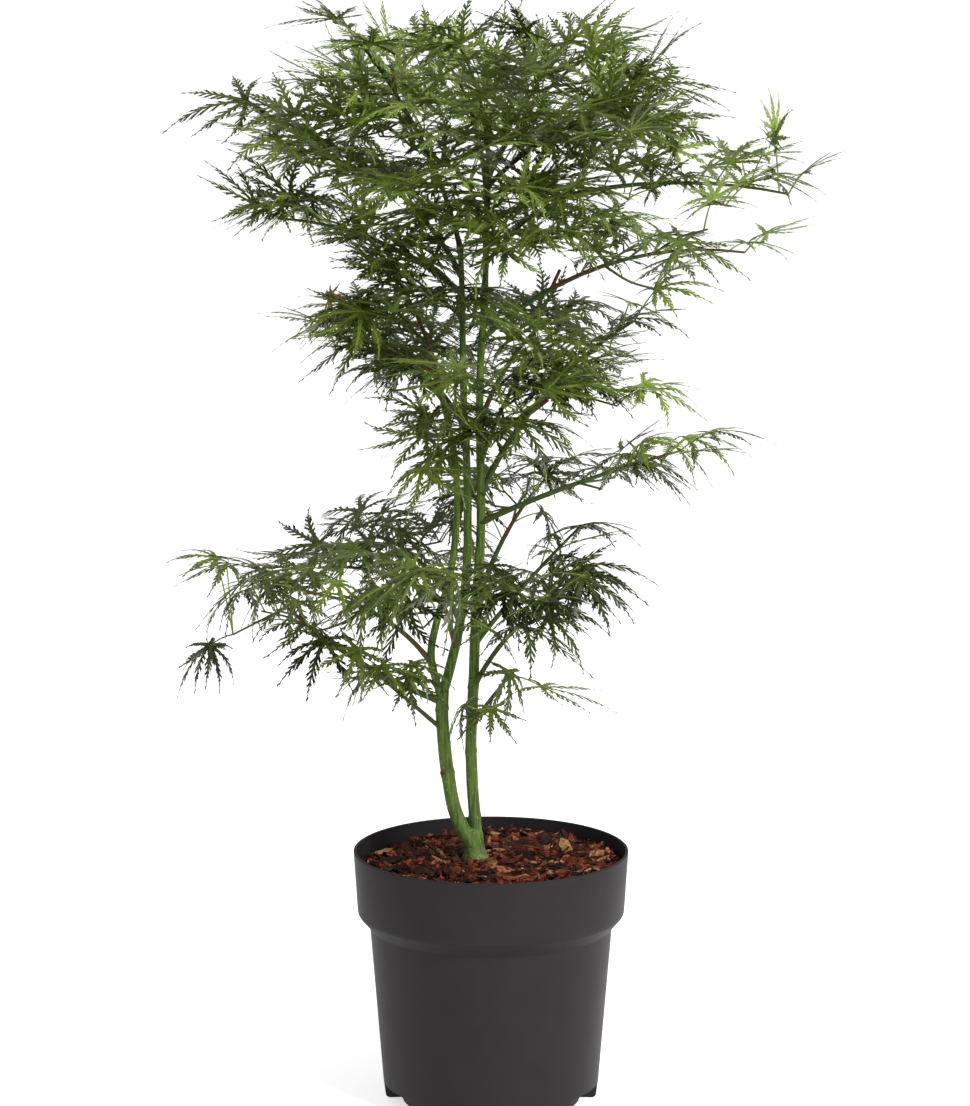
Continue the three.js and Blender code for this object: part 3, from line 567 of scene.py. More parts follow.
make_piece("stems", stem_parts, [green_bark], ["trunk", *STEMS], smooth=True)
print("stems reach", round(max(points[:, 2].max() for points, _ in stem_parts)), "mm")

# %% [markdown]
# ## Limbs
# A limb starts on a stem at a height, heads out in plan and climbs. Its first share is the
# bare bough and the rest carries the leaves. Each row below is one limb with its own few
# numbers, and one function turns a row into a path.

# %% Limbs
# name: stem, height, heading, sweep, rise at root, rise at tip, length, bare, radius, seed
LIMBS = {
    "low_left_long": ("left_stem", 281, 190, -16, 22, 46, 147, 0.5, 2.3, 597),
    "low_left_front": ("left_stem", 262, 210, 33, 42, 32, 84, 0, 1.7, 212),
    "low_left_mid": ("left_outer", 309, 216, -6, 52, 10, 118, 0.34, 1.9, 206),
    "low_left_high": ("left_outer", 352, 156, 10, 32, -8, 94, 0.3, 1.8, 624),
    "low_right_small": ("right_stem", 262, 322, -2, 56, 44, 54, 0, 1.7, 550),
    "low_right_mid": ("right_stem", 290, 332, -18, 64, 20, 116, 0.4, 1.9, 862),
    "low_right_high": ("right_stem", 322, 28, -1, 46, 39, 112, 0.4, 1.9, 618),
    "low_back_left": ("left_inner", 336, 114, 11, 38, -1, 133, 0.34, 2, 823),
    "low_back_right": ("right_stem", 348, 68, -10, 46, 20, 140, 0.34, 2, 504),
    "low_front": ("left_inner", 318, 262, -2, 50, 7, 125, 0.3, 1.8, 296),
    "mid_right_long": ("right_stem", 405, 346, 9, 26, 16, 146, 0.42, 2.2, 456),
    "mid_right_rise": ("right_stem", 425, 10, -15, 66, 31, 160, 0.42, 2.3, 810),
    "mid_right_high": ("right_stem", 530, 4, 0, 44, -8, 194, 0.36, 2, 171),
    "mid_front": ("right_stem", 446, 294, -8, 54, 25, 134, 0.22, 1.8, 200),
    "mid_front_left": ("left_outer", 444, 236, 5, 44, 19, 68, 0, 1.6, 29),
    "mid_left_long": ("left_outer", 492, 184, 1, 46, 38, 81, 0.24, 1.8, 792),
    "mid_back_left": ("left_inner", 468, 122, 19, 44, 1, 138, 0.26, 1.9, 586),
    "mid_back_right": ("right_stem", 474, 64, -6, 48, 6, 148, 0.26, 1.9, 449),
    "left_outer_tip": ("left_outer", 501, 165, 19, 78, 56, 86, 0, 1.8, 305),
    "top_left_long": ("left_inner", 562, 188, -25, 42, 1, 138, 0.28, 2, 556),
    "top_left_rise": ("left_inner", 574, 158, 18, 60, 16, 172, 0.26, 1.9, 767),
    "top_left_high": ("left_inner", 592, 204, 12, 76, 46, 162, 0.22, 1.8, 818),
    "top_right_long": ("right_stem", 612, 356, -8, 22, -11, 206, 0.34, 2, 367),
    "top_right_front": ("right_stem", 634, 318, 5, 40, 10, 142, 0.26, 1.7, 887),
    "top_right_high": ("right_stem", 640, 46, 1, 54, 21, 131, 0.2, 1.7, 259),
    "top_front": ("right_stem", 594, 256, 16, 50, -6, 135, 0.22, 1.7, 27),
    "top_back": ("right_stem", 618, 94, 19, 50, 19, 180, 0.26, 1.8, 159),
    "inner_left": ("left_inner", 546, 204, 20, 44, 13, 60, 0, 1.6, 39),
    "inner_front": ("right_stem", 582, 304, -13, 40, 12, 114, 0, 1.6, 849),
    "leader_tip": ("right_stem", 648, 250, -44, 84, 60, 83, 0, 1.6, 316),
}
CLEAR = {"low_left_front": 0.42, "low_right_small": 0.42}  # bare start of a leafy stem
LEAF_SCALE = {
    "low_left_front": 0.76, "low_right_small": 0.72, "mid_right_long": 0.86,
    "mid_right_high": 0.9, "top_right_long": 0.8,
}
LIMB_STEPS = 12


def limb_path(stem, height, heading, sweep, root_rise, tip_rise, length):
    """Each step is length / steps along the direction whose angles change evenly."""
    line = stem_paths[stem]
    start = line[np.argmin(np.abs(line[:, 2] - height))]
    share = (np.arange(LIMB_STEPS) + 0.5) / LIMB_STEPS
    steps = [direction(heading + sweep * s, root_rise + (tip_rise - root_rise) * s)
             for s in share]
    return np.vstack([start, start + np.cumsum(steps, axis=0) * length / LIMB_STEPS])


limb_paths = {name: limb_path(*row[:7]) for name, row in LIMBS.items()}
print(len(limb_paths), "limbs, the highest tip at",
      round(max(path[-1][2] for path in limb_paths.values())), "mm")

# %% [markdown]
# ## Boughs
# All limbs are tubes with a collar where they leave the stem. The radius falls evenly along
# the bare bough and then faster along the leafy part, down to the thin tip. Thin bark is
# green like the stems, and reddish brown where the sun has reached it.

# %% Boughs
BOUGH_STEP = 2.5  # millimetres between two rings of a bough's mesh
BOUGH_SIDES = 10
TIP_RADIUS = 0.8
bough_parts = []
for number, (name, row) in enumerate(LIMBS.items()):
    bare, thick = row[7], row[8]
    share = np.linspace(0, 1, int(row[6] / BOUGH_STEP))
    path = resampled(limb_paths[name], share)
    ends = thick * (1 - 0.5 * share) * (1 + 0.45 * np.exp(-share * row[6] / 4))
    leafy = np.clip((share - bare) / (1 - bare), 0, 1)
    thin = thick * (1 - 0.5 * bare) * (1 - leafy) + TIP_RADIUS * leafy
    radius = np.where(share < bare, ends, thin)
    bough_parts.append(tube(path, radius, BOUGH_SIDES, bark_relief(0.7 * number)))

SUNNED_MM = 70.0  # width of the reddish places
bough_skin, tree, shader = new_material("thin_maple_bark", 0.5, 0.2)
sunned = noise(tree, surface_place(tree), SUNNED_MM)
tree.links.new(two_tone(tree, sunned, "#33471b", "#50321f", 0.5, 0.64),
               shader.inputs["Base Color"])
make_piece("boughs", bough_parts, [bough_skin], bough_nodes, smooth=True)

# %% [markdown]
# ## Pruning marks
# A nursery cuts long shoots back while the plant is small. What is left of a cut shoot is a
# short stub that dries to a reddish brown, and on the left stem a round scar. Each is a short
# tube that starts on the middle line of its stem or limb and ends in a flat cut.

# %% Stubs and scar
STUBS = [  # stem or limb, share of its path, heading, rise, length, radius
    ("left_stem", 0.45, 222, 12, 5.3, 2.3), ("left_outer", 1.0, 172, 58, 16, 1.6),
    ("mid_right_rise", 0.4, 30, 30, 17, 1.8), ("mid_right_high", 0.3, 325, 62, 15, 1.2),
    ("top_left_high", 0.72, 215, 80, 17, 1.3), ("low_left_long", 0.8, 150, 60, 12, 1.0),
]
stub_parts = []
for name, share, heading, rise, length, radius in STUBS:
    path = limb_paths[name] if name in limb_paths else stem_paths[name]
    foot = resampled(path, [share])[0]
    line = foot + np.linspace(0, length, 7)[:, None] * direction(heading, rise)
    stub_parts.append(tube(line, radius * (1 - 0.12 * np.linspace(0, 1, 7) ** 2), 12))
dead_wood = plain("dried_maple_stub", "#5f2f1f", 0.75, 0.2)
make_piece("pruned_stubs", stub_parts, [dead_wood])

# %% [markdown]
# ## The growth rule
# Maple shoots stand in opposite pairs, and each pair is turned a quarter from the last. A
# shoot is a leaf on its stalk, or near the bough a twig. The rule only writes down places and
# directions, and the meshes come later, so a change of habit is a change of one number here.
# A leaf is a hub where its lobes meet, a forward and an up direction and a length.

# %% One leaf
PETIOLE_LENGTH = (16, 27)
PETIOLE_RISE = (14, 58)  # stalks stand up from the twig and carry the blade above it
LEAF_LENGTH = (45, 60)
LOW_PITCH, HIGH_PITCH = -20.0, 20.0
PITCH_SPREAD, ROLL_SPREAD = 30.0, 34.0
leaves = {"foot": [], "hub": [], "forward": [], "up": [], "length": [], "limb": [], "twig": []}


def leaf_pitch(height):
    """Low blades droop and high ones stand up: an even change from 300 to 700 mm."""
    share = min(1.0, max(0.0, (height - 300) / 400))
    return LOW_PITCH + (HIGH_PITCH - LOW_PITCH) * share


def note_leaf(*row):
    """Writes down one leaf: foot, hub, forward, up, length, limb and twig."""
    for key, value in zip(leaves, row):
        leaves[key].append(value)


def add_leaf(draws, limb, node, heading, lift, scale=1.0, twig=-1):
    """Draws the stalk, size, turn, pitch and roll of one leaf and writes down its place."""
    _, between, spread = draws
    petiole = between(*PETIOLE_LENGTH) * scale
    climb = between(*PETIOLE_RISE)
    length = between(*LEAF_LENGTH) * LEAF_SCALE.get(limb, 1.0) * scale
    aim = heading + spread(14)
    pitch = leaf_pitch(node[2]) + spread(PITCH_SPREAD) + 0.35 * lift
    roll = np.radians(spread(ROLL_SPREAD))
    forward = direction(aim, pitch)
    level = np.cross(forward, UP)
    level /= np.linalg.norm(level)
    up = np.cross(level, forward)
    up = up * np.cos(roll) + np.cross(forward, up) * np.sin(roll)
    hub = node + petiole * direction(aim, climb + 0.3 * lift)
    note_leaf(node, hub, forward, up, length, limb, twig)


print("a blade pitches", leaf_pitch(300), "degrees low in the crown and", leaf_pitch(700), "high")

# %% [markdown]
# ## Twigs and pairs
# A side twig ends in a pair of leaves and a last one. Finer shoots fill in between: by
# chance a side twig carries a pair of short shoots, and each of those two smaller leaves. A
# limb then is a row of pairs at even shares of its leafy part. The finer growth draws from
# a generator of its own, so that it never changes where the main leaves stand.

# %% Growth
NODE_SPACING = 19.0
SIDE_TWIG_LENGTH = (30, 46)
TWIG_CHANCE = 0.5
TWIGGY_SHARE = 0.6  # side twigs stand on this share of a leafy stem, next to the bough
PAIR_SETBACK = 3.0
FINE_TWIG_LENGTH = (9, 17)
FINE_CHANCE = 0.3
twigs = []  # stations, radii and the number of the twig it stands on, -1 on a limb


def add_fine_pair(fine, limb, node, heading, rise, twig):
    """Two short shoots, one to each side, and each of them ends in two smaller leaves."""
    _, between, spread = fine
    for hand in (-1, 1):
        way = heading + hand * between(42, 74)
        tip = node + between(*FINE_TWIG_LENGTH) * direction(way, rise + spread(18))
        twigs.append((np.stack([node, (node + tip) / 2, tip]), (0.75, 0.55), twig))
        add_leaf(fine, limb, tip, way + 38, 0, 0.82, len(twigs) - 1)
        add_leaf(fine, limb, tip, way - 38, 0, 0.82, len(twigs) - 1)


def add_twig(draws, fine, limb, node, heading, rise):
    """A twig of two pieces with a bend, a pair of leaves near its tip and one at the tip."""
    _, between, spread = draws
    length = between(*SIDE_TWIG_LENGTH)
    bend = spread(16)
    middle = node + direction(heading, rise) * length / 2
    tip = middle + direction(heading + bend, rise / 2) * length / 2
    twigs.append((np.stack([node, middle, tip]), (1.0, 0.7), -1))
    twig = len(twigs) - 1
    pair = tip + (middle - tip) * PAIR_SETBACK / (length / 2)
    add_leaf(draws, limb, tip, heading + bend, 0, twig=twig)
    add_leaf(draws, limb, pair, heading + bend + 62, 0, twig=twig)
    add_leaf(draws, limb, pair, heading + bend - 62, 0, twig=twig)
    if fine[0]() < FINE_CHANCE:
        add_fine_pair(fine, limb, middle, heading, rise, twig)


def grow(limb):
    """Pairs at even shares of the leafy stem, a twig by chance near the bough, a last leaf."""
    length, bare, seed = LIMBS[limb][6], LIMBS[limb][7], LIMBS[limb][9]
    unit, between, spread = draws = seeded(seed)
    fine = seeded(seed + 500)
    path = limb_paths[limb]
    first = bare + CLEAR.get(limb, 0) * (1 - bare)
    pairs = max(2, round(length * (1 - first) / NODE_SPACING))
    for k in range(pairs):
        share = first + (1 - first) * (k + 0.6) / (pairs + 0.2)
        point, ahead = resampled(path, [share, share + 0.01])
        heading = math.degrees(math.atan2(*(ahead - point)[[1, 0]]))
        flat = k % 2 == 0
        for hand in (-1, 1):
            splay = hand * (between(48, 68) if flat else between(14, 30))
            lift = spread(10) if flat else hand * 34
            if k < TWIGGY_SHARE * pairs and unit() < TWIG_CHANCE:
                rise = spread(14) if flat else hand * 30
                add_twig(draws, fine, limb, point, heading + splay, rise)
            else:
                add_leaf(draws, limb, point, heading + splay, lift)
                if fine[0]() < FINE_CHANCE:
                    add_leaf(fine, limb, point, heading + 0.5 * splay, -lift, 0.8)
    end_heading = math.degrees(math.atan2(*(path[-1] - path[-2])[[1, 0]]))
    add_leaf(draws, limb, path[-1], end_heading, 0)


for limb in LIMBS:
    grow(limb)
print(len(leaves["foot"]), "leaves and", len(twigs), "twigs grown")

# %% [markdown]
# ## Room and gaps
# A real crown thins itself, and light reaches through it. Two tests do that here. A leaf
# needs room, more of it at the crown's rim and in the shade, and it may not cover the gaps
# that keep the tiers apart. The gaps are ellipses in the plane of the stems, seen from one
# eye point, so each leaf is carried along the eye's line onto that plane.

# %% Room and gaps
ROOM = (7.0, 22.0)
SHADE_ROOM = 0.5
# Gaps of the crown as an eye 2.6 m in front sees them: across, height, half width, half height.
EYE = np.array([-4.0, -2600.0, 840.0])
GAPS = [
    (-117, 584, 39, 15), (150, 610, 35, 11), (109, 535, 24, 12), (89, 476, 19, 15),
    (91, 423, 53, 14), (-157, 307, 22, 27), (-191, 337, 27, 13), (-101, 430, 31, 10),
    (-164, 527, 23, 16), (68, 570, 27, 16), (90, 324, 21, 25), (51, 288, 27, 17),
    (-81, 476, 20, 18), (-104, 275, 22, 11),
]
GAP_SHARE = 0.3  # a leaf with more than this share of itself in the gaps is left out
LOBE_ANGLES = np.radians([-118, -76, -37, 0, 37, 76, 118])
LOBE_SHARES = np.array([0.5, 0.76, 0.93, 1.0, 0.93, 0.76, 0.5])


def uncrowded(middles):
    """A leaf stays where no earlier one is nearer than the room it needs, which grows from
    ROOM[0] mm at the stems to ROOM[1] mm at the rim of the crown, 200 mm out, and is larger
    by SHADE_ROOM in the shaded tiers below 350 mm."""
    out = np.hypot(middles[:, 0] + 15, middles[:, 1])
    shade = np.clip((430 - middles[:, 2]) / 80, 0, 1)
    room = (ROOM[0] + (ROOM[1] - ROOM[0]) * np.clip(out / 200, 0, 1)) * (1 + SHADE_ROOM * shade)
    kept = []
    for i, middle in enumerate(middles):
        if not kept or np.linalg.norm(middles[kept] - middle, axis=1).min() > room[i]:
            kept.append(i)
    return np.array(kept)


def in_gaps(hub, forward, up, length):
    """The share of each leaf in the gaps: points at half and nine tenths of its lobes are
    carried along the eye's line to the plane of the stems and tested against each ellipse."""
    side = np.cross(forward, up)
    reach = np.concatenate([0.5 * LOBE_SHARES, 0.9 * LOBE_SHARES])[None, :, None]
    reach = reach * length[:, None, None]
    turn = np.tile(LOBE_ANGLES, 2)[None, :, None]
    points = hub[:, None] + reach * (np.cos(turn) * forward[:, None] + np.sin(turn) * side[:, None])
    seen = EYE + (points - EYE) * (EYE[1] / (EYE[1] - points[..., 1:2]))
    x, z, half_width, half_height = np.array(GAPS, float).T
    inside = (((seen[..., :1] - x) / half_width) ** 2
              + ((seen[..., 2:] - z) / half_height) ** 2) < 1
    return inside.any(axis=2).mean(axis=1)


print(len(GAPS), "gaps")

# %% [markdown]
# ## Late shoots and the choice of leaves
# Three late shoots are written down one by one, because they stand out of the crown's edge.
# Then the tests choose: a blade that would reach too far past the solids is made shorter or
# left out, and a twig stays when a leaf or a finer twig stands on it. Last, one old leaf on
# the left has dried up and hangs limp from its stalk.

# %% Choice of leaves
OVERHANG = 10.0  # millimetres that a blade may reach past the solids
SHORTEST = 0.6  # a leaf at the rim of the crown may stay this short, as a share of its length
# Late shoots reach out of the tiers: a young one stands up at the top right, one carries the
# outermost leaves at the low left, and the lowest limb on the right ends in a long leaf.
LATE_SHOOTS = [  # limb, share; heading, rise, length; (stalk h., rise, mm, blade h., pitch, mm)
    ("top_right_long", 0.97, 0, 0, 0.0, [
        (140, 83, 42, 150, 86, 30), (140, 83, 36, 20, 72, 26), (140, 83, 30, 190, 66, 22)]),
    ("low_left_long", 0.86, 188, -26, 41.0, [
        (225, 84, 48, 184, 2, 46), (200, 78, 54, 150, 24, 36), (222, -14, 21, 200, -34, 46),
        (222, -14, 21, 320, -50, 34)]),
    ("low_right_small", 0.95, 350, 10, 6.0, [(350, -22, 18, 350, -14, 56)]),
]
late = len(leaves["foot"])
for limb, share, heading, rise, length, blades in LATE_SHOOTS:
    foot = resampled(limb_paths[limb], [share])[0]
    end = foot + length * direction(heading, rise)
    if length:
        twigs.append((np.stack([foot, (foot + end) / 2, end]), (0.9, 0.7), -1))
    for stalk_heading, stalk_rise, stalk, way, pitch, blade in blades:
        note_leaf(end, end + stalk * direction(stalk_heading, stalk_rise), direction(way, pitch),
                  direction(way + 180, 90 - pitch), blade, limb, len(twigs) - 1 if length else -1)
leaf = {key: np.array(value) for key, value in leaves.items() if key != "limb"}
low, high = 1000 * np.array(solid_box)
reach = leaf["length"][:, None] * leaf["forward"]
rim = np.where(reach > 0, high + OVERHANG - leaf["hub"], leaf["hub"] - low + OVERHANG)
fit = (rim / np.maximum(np.abs(reach), 1e-6)).min(axis=1)
leaf["length"] = leaf["length"] * np.clip(fit, 0, 1)
within = fit > SHORTEST
within &= in_gaps(leaf["hub"], leaf["forward"], leaf["up"], leaf["length"]) < GAP_SHARE
within[late:] = False
middles = leaf["hub"] + 0.4 * leaf["length"][:, None] * leaf["forward"]
kept = np.flatnonzero(within)[uncrowded(middles[within])]
kept = np.append(kept, np.arange(late, len(within)))
print(len(kept), "of", len(leaf["hub"]), "leaves have room,", len(twigs), "side twigs")
leaf = {key: value[kept] for key, value in leaf.items()}
leaf_limb = np.array(leaves["limb"])[kept]
in_use = set(leaf["twig"].tolist())
in_use |= {twigs[number][2] for number in in_use if number >= 0}
twigs = [twigs[number] for number in sorted(in_use - {-1})]
WITHERED_AT, WITHERED_SHARE = (-124.0, 549.0), 0.62
front = leaf["hub"][:, 1] < 0
away = np.hypot(leaf["hub"][:, 0] - WITHERED_AT[0], leaf["hub"][:, 2] - WITHERED_AT[1])
withered = int(np.argmin(np.where(front, away, 1e6)))
leaf["length"][withered] *= WITHERED_SHARE
leaf["forward"][withered], leaf["up"][withered] = direction(200, -76), direction(200, 14)
print(len(twigs), "twigs stay; the withered leaf hangs at", leaf["hub"][withered].round())

# %% [markdown]
# ## Leaf blades
# A laceleaf blade has seven lobes that meet at the stalk. Every lobe is slender, cut down to
# its rib into narrow toothed feathers that point forward, and it ends in a long thin tail.
# So one lobe is a ribbon along a rib with nine pairs of feathers, about eighty faces, and all
# lobes are worked out at once: one axis of the array for the lobe, one for the feather, one
# for its side and one for its corners. The rib rises a little and then droops to the tail.

# %% Lobes
PAIRS = 9
LOBE_SEED = 7
rng = np.random.default_rng(LOBE_SEED)


def lobe_set(pick):
    """One row for each lobe of the picked leaves: frame, angle, size, droop and curl."""
    n = len(pick)
    side = np.cross(leaf["forward"][pick], leaf["up"][pick])
    frames = [np.repeat(v, 7, axis=0) for v in
              (leaf["hub"][pick], leaf["forward"][pick], side, leaf["up"][pick])]
    size = leaf["length"][pick][:, None] * LOBE_SHARES * rng.uniform(0.86, 1.08, (n, 7))
    angle = LOBE_ANGLES + rng.normal(0, 0.09, (n, 7))
    height = np.clip((leaf["hub"][pick][:, 2:] - 300) / 400, 0, 1)
    droop = rng.uniform(0.12, 0.6, (n, 1)) * (1.3 - 0.8 * height) + rng.normal(0, 0.08, (n, 7))
    curl = rng.normal(0, 0.2, (n, 7))
    return frames, angle.ravel(), size.ravel(), droop.ravel(), curl.ravel()


def on_lobe(lobes, along, across, lift=0.0):
    """Rib point: heading = angle + curl s^2, height = size (0.14 s - droop s^2), where s is
    the share of the rib. Across goes square to that heading. Lobes are the first axis."""
    frames, angle, size, droop, curl = lobes
    shape = (-1,) + (1,) * (np.ndim(along) - 1)
    hub, forward, side, up = (v.reshape(shape + (3,)) for v in frames)
    angle, size, droop, curl = (v.reshape(shape) for v in (angle, size, droop, curl))
    share = along / size
    turn = angle + curl * share**2
    x = along * np.cos(turn) - across * np.sin(turn)
    y = along * np.sin(turn) + across * np.cos(turn)
    z = size * (0.14 * share - droop * share**2) + lift
    return hub + x[..., None] * forward + y[..., None] * side + z[..., None] * up


print(PAIRS, "pairs of feathers on each of", len(LOBE_ANGLES), "lobes")

# %% [markdown]
# ## Feathers, web and ribs
# A feather is a small kite of four triangles with one tooth. The web is a narrow ribbon that
# holds the feathers together, and the rib is a thin rod. All of them are laid on the lobe by
# the helper above, so they follow its curl and droop.

# %% Feathers, web and ribs
RIBBON_ROWS = 7


def feathers(lobes):
    """Feather = root on the rib + L (cos f, sin f); its width bulges at mid length and it has
    one tooth. L = size (0.05 + 0.19 sin(pi s / 0.8)^1.1), f falls from 28 to 17 degrees."""
    size = lobes[2].reshape(-1, 1, 1)
    hand = np.broadcast_to(np.array([-1.0, 1.0]), (len(size), PAIRS, 2))
    share = np.linspace(0.07, 0.93, PAIRS)[None, :, None] + 0.014 * hand
    swell = np.sin(np.pi * np.clip(share / 0.8, 0, 1)) ** 1.1
    long = size * (0.05 + 0.19 * swell) * rng.uniform(0.8, 1.15, hand.shape)
    lean = np.radians(28 - 11 * share + rng.normal(0, 4, hand.shape))
    root = share * size
    half = 0.33 + 0.044 * long

    def corner(ahead, out, on_rib=0.0):
        u = ahead * long * np.cos(lean) - out * half * np.sin(lean) + on_rib
        v = ahead * long * np.sin(lean) + out * half * np.cos(lean)
        return on_lobe(lobes, root + u, hand * v * (on_rib == 0), -0.12 * v)

    corners = np.stack([
        corner(0, 0, -0.9), corner(0, 0, 1.3), corner(0.5, -1.0), corner(0.42, 1.1),
        corner(1.0, 0.0), corner(0.72, 1.9), corner(0.66, 0.0)], axis=3)
    shape = np.array([[0, 1, 2], [0, 2, 3], [3, 2, 4], [3, 6, 5]])
    count = corners.shape[0] * PAIRS * 2
    left = np.arange(count) % 2 == 0
    triangles = np.where(left[:, None, None], shape[:, ::-1], shape)
    return corners.reshape(-1, 3), copies(triangles, count, 7)


def ribbons(lobes):
    """The web along each rib, widest at the stalk: half width = 1.9 (1 - s)^1.4 + 0.25 mm."""
    size = lobes[2].reshape(-1, 1, 1)
    share = np.linspace(0, 1, RIBBON_ROWS)[None, :, None]
    hand = np.array([-1.0, 1.0])
    points = on_lobe(lobes, share * size, hand * (1.9 * (1 - share) ** 1.4 + 0.25) + 0 * size)
    one = grid_triangles(RIBBON_ROWS, 2, wrap=False)
    return points.reshape(-1, 3), copies(one, len(size), 2 * RIBBON_ROWS)


def ribs(lobes):
    """A thin three-sided rod on the rib, so that it shows from above and from below."""
    size = lobes[2].reshape(-1, 1, 1)
    share = np.linspace(0, 0.8, 4)[None, :, None]
    turn = np.radians([90, 210, 330])
    thick = 0.4 * (1 - share) + 0.08 + 0 * size
    points = on_lobe(lobes, share * size, thick * np.cos(turn), thick * np.sin(turn))
    return points.reshape(-1, 3), copies(grid_triangles(4, 3), len(size), 12)


# %% [markdown]
# ## Leaf colours
# Leaves of one spray share an age, so they share a tint: deep green low and inside, fresher
# green at the tips and the top. The blade is a thin waxy skin with a soft gloss. A tint is two
# plain colours, one for the feathers and a paler one for the web along the ribs, and the
# tints are dealt out by limb. Ribs and stalks are a paler yellow green.

# %% Leaves
# Living leaf, waxy cuticle: soft highlights, IOR about 1.4.
TINTS = {  # finish, colour of the feathers, colour of the web, roughness, specular
    "deep": ("deep_green", "#191f0b", "#2c3711", 0.42, 0.35),
    "middle": ("mid_green", "#2d3613", "#44521b", 0.42, 0.35),
    "fresh": ("fresh_green", "#45521d", "#5d7024", 0.42, 0.35),
    "young": ("young_green", "#61732b", "#7b8f42", 0.42, 0.35),
    "dried": ("dried_brown", "#6b4a2a", "#7d5a36", 0.8, 0.15),
}
limb_order = list(LIMBS)
height_share = np.clip((leaf["hub"][:, 2] - 280) / 460, 0, 1)
spray = np.array([limb_order.index(name) * 7 + k // 3 for k, name in enumerate(leaf_limb)])
chance = (np.sin(spray * 12.9898) * 43758.5453) % 1
tint = np.clip((0.9 * chance + 0.45 * height_share) * 3.2, 0, 3.99).astype(int)
tint[withered] = list(TINTS).index("dried")
rib_parts = []
for number, (name, (finish, feather, web, rough, gloss)) in enumerate(TINTS.items()):
    lobes = lobe_set(np.flatnonzero(tint == number))
    blades = [feathers(lobes), ribbons(lobes)]
    skins = [plain(f"maple_leaf_{finish}", feather, rough, gloss),
             plain(f"maple_web_{finish}", web, rough, gloss)]
    make_piece(f"leaves_{name}", blades, skins, leaf_nodes,
               material_of=np.repeat([0, 1], [len(faces) for _, faces in blades]))
    rib_parts.append(ribs(lobes))
rib_green = plain("maple_rib_yellow_green", "#6f8030", 0.5, 0.25)
make_piece("leaf_ribs", rib_parts, [rib_green])

# %% [markdown]
# ## Stalks and twigs
# Each leaf hangs on a thin stalk that leaves its twig steeply and bends over to the blade.
# A stalk is a tube along a curve with three control points, and all stalks share one mesh.
# Side twigs are tubes as well, a little thicker, and of one olive green.

# %% Stalks and twigs
KNEE = 0.12  # how far a stalk bows up at its middle, as a share of its length
stalk_parts = []
for foot, hub in zip(leaf["foot"], leaf["hub"]):
    knee = (foot + hub) / 2 + UP * KNEE * np.linalg.norm(hub - foot)
    stalk_parts.append(tube(arc(foot, knee, hub, 5), np.linspace(0.62, 0.45, 5), 5))
stalk_green = plain("maple_stalk_green", "#74823a", 0.48, 0.25)
make_piece("leaf_stalks", stalk_parts, [stalk_green], smooth=True)

twig_parts = [tube(smooth_path(stations, 9), np.linspace(*radii, 9), 6)
              for stations, radii, _ in twigs]
twig_skin = plain("maple_twig_skin", "#4a4f26", 0.5, 0.3)
make_piece("side_twigs", twig_parts, [twig_skin], smooth=True)

# %% [markdown]
# ## Bark mulch
# The mix is topped with chopped pine bark: flat, angular chips of every size that lie any
# way round, and crumbs between them. A chip is a six-cornered plate with uneven corners and
# a rough edge. Thousands are laid in rows of arrays: place, turn, tilt and size are drawn,
# and each is turned by three small matrices, one for each axis.

# %% Chips
MULCH_EDGE_HEIGHT = 168.0
MULCH_LEFT_SAG = 3.5
GROUND = 170.8
CHIP_COUNT, CHIP_LENGTH, CHIP_SEED, CHIP_REACH = 1600, (8.0, 26.0), 3, 90.0
CRUMB_COUNT, CRUMB_LENGTH, CRUMB_SEED, CRUMB_REACH = 3800, (2.0, 7.0), 4, 90.5
CORNERS = 6
TRUNK_ROOM = 9  # millimetres round the trunk's middle that chips keep clear


def mulch_height(x, y):
    """The mix is highest round the trunk and has sunk on the left."""
    mound = (GROUND - MULCH_EDGE_HEIGHT) * (1 - np.minimum(1, np.hypot(x, y) / 80))
    return MULCH_EDGE_HEIGHT + mound - MULCH_LEFT_SAG * np.maximum(0, -x / 90)


def turned_about(axis, angles):
    """One rotation matrix for each angle, about x, y or z as axis is 0, 1 or 2."""
    matrix = np.zeros((len(angles), 3, 3))
    after, last = (axis + 1) % 3, (axis + 2) % 3
    matrix[:, axis, axis] = 1
    matrix[:, after, after] = matrix[:, last, last] = np.cos(angles)
    matrix[:, last, after] = np.sin(angles)
    matrix[:, after, last] = -np.sin(angles)
    return matrix


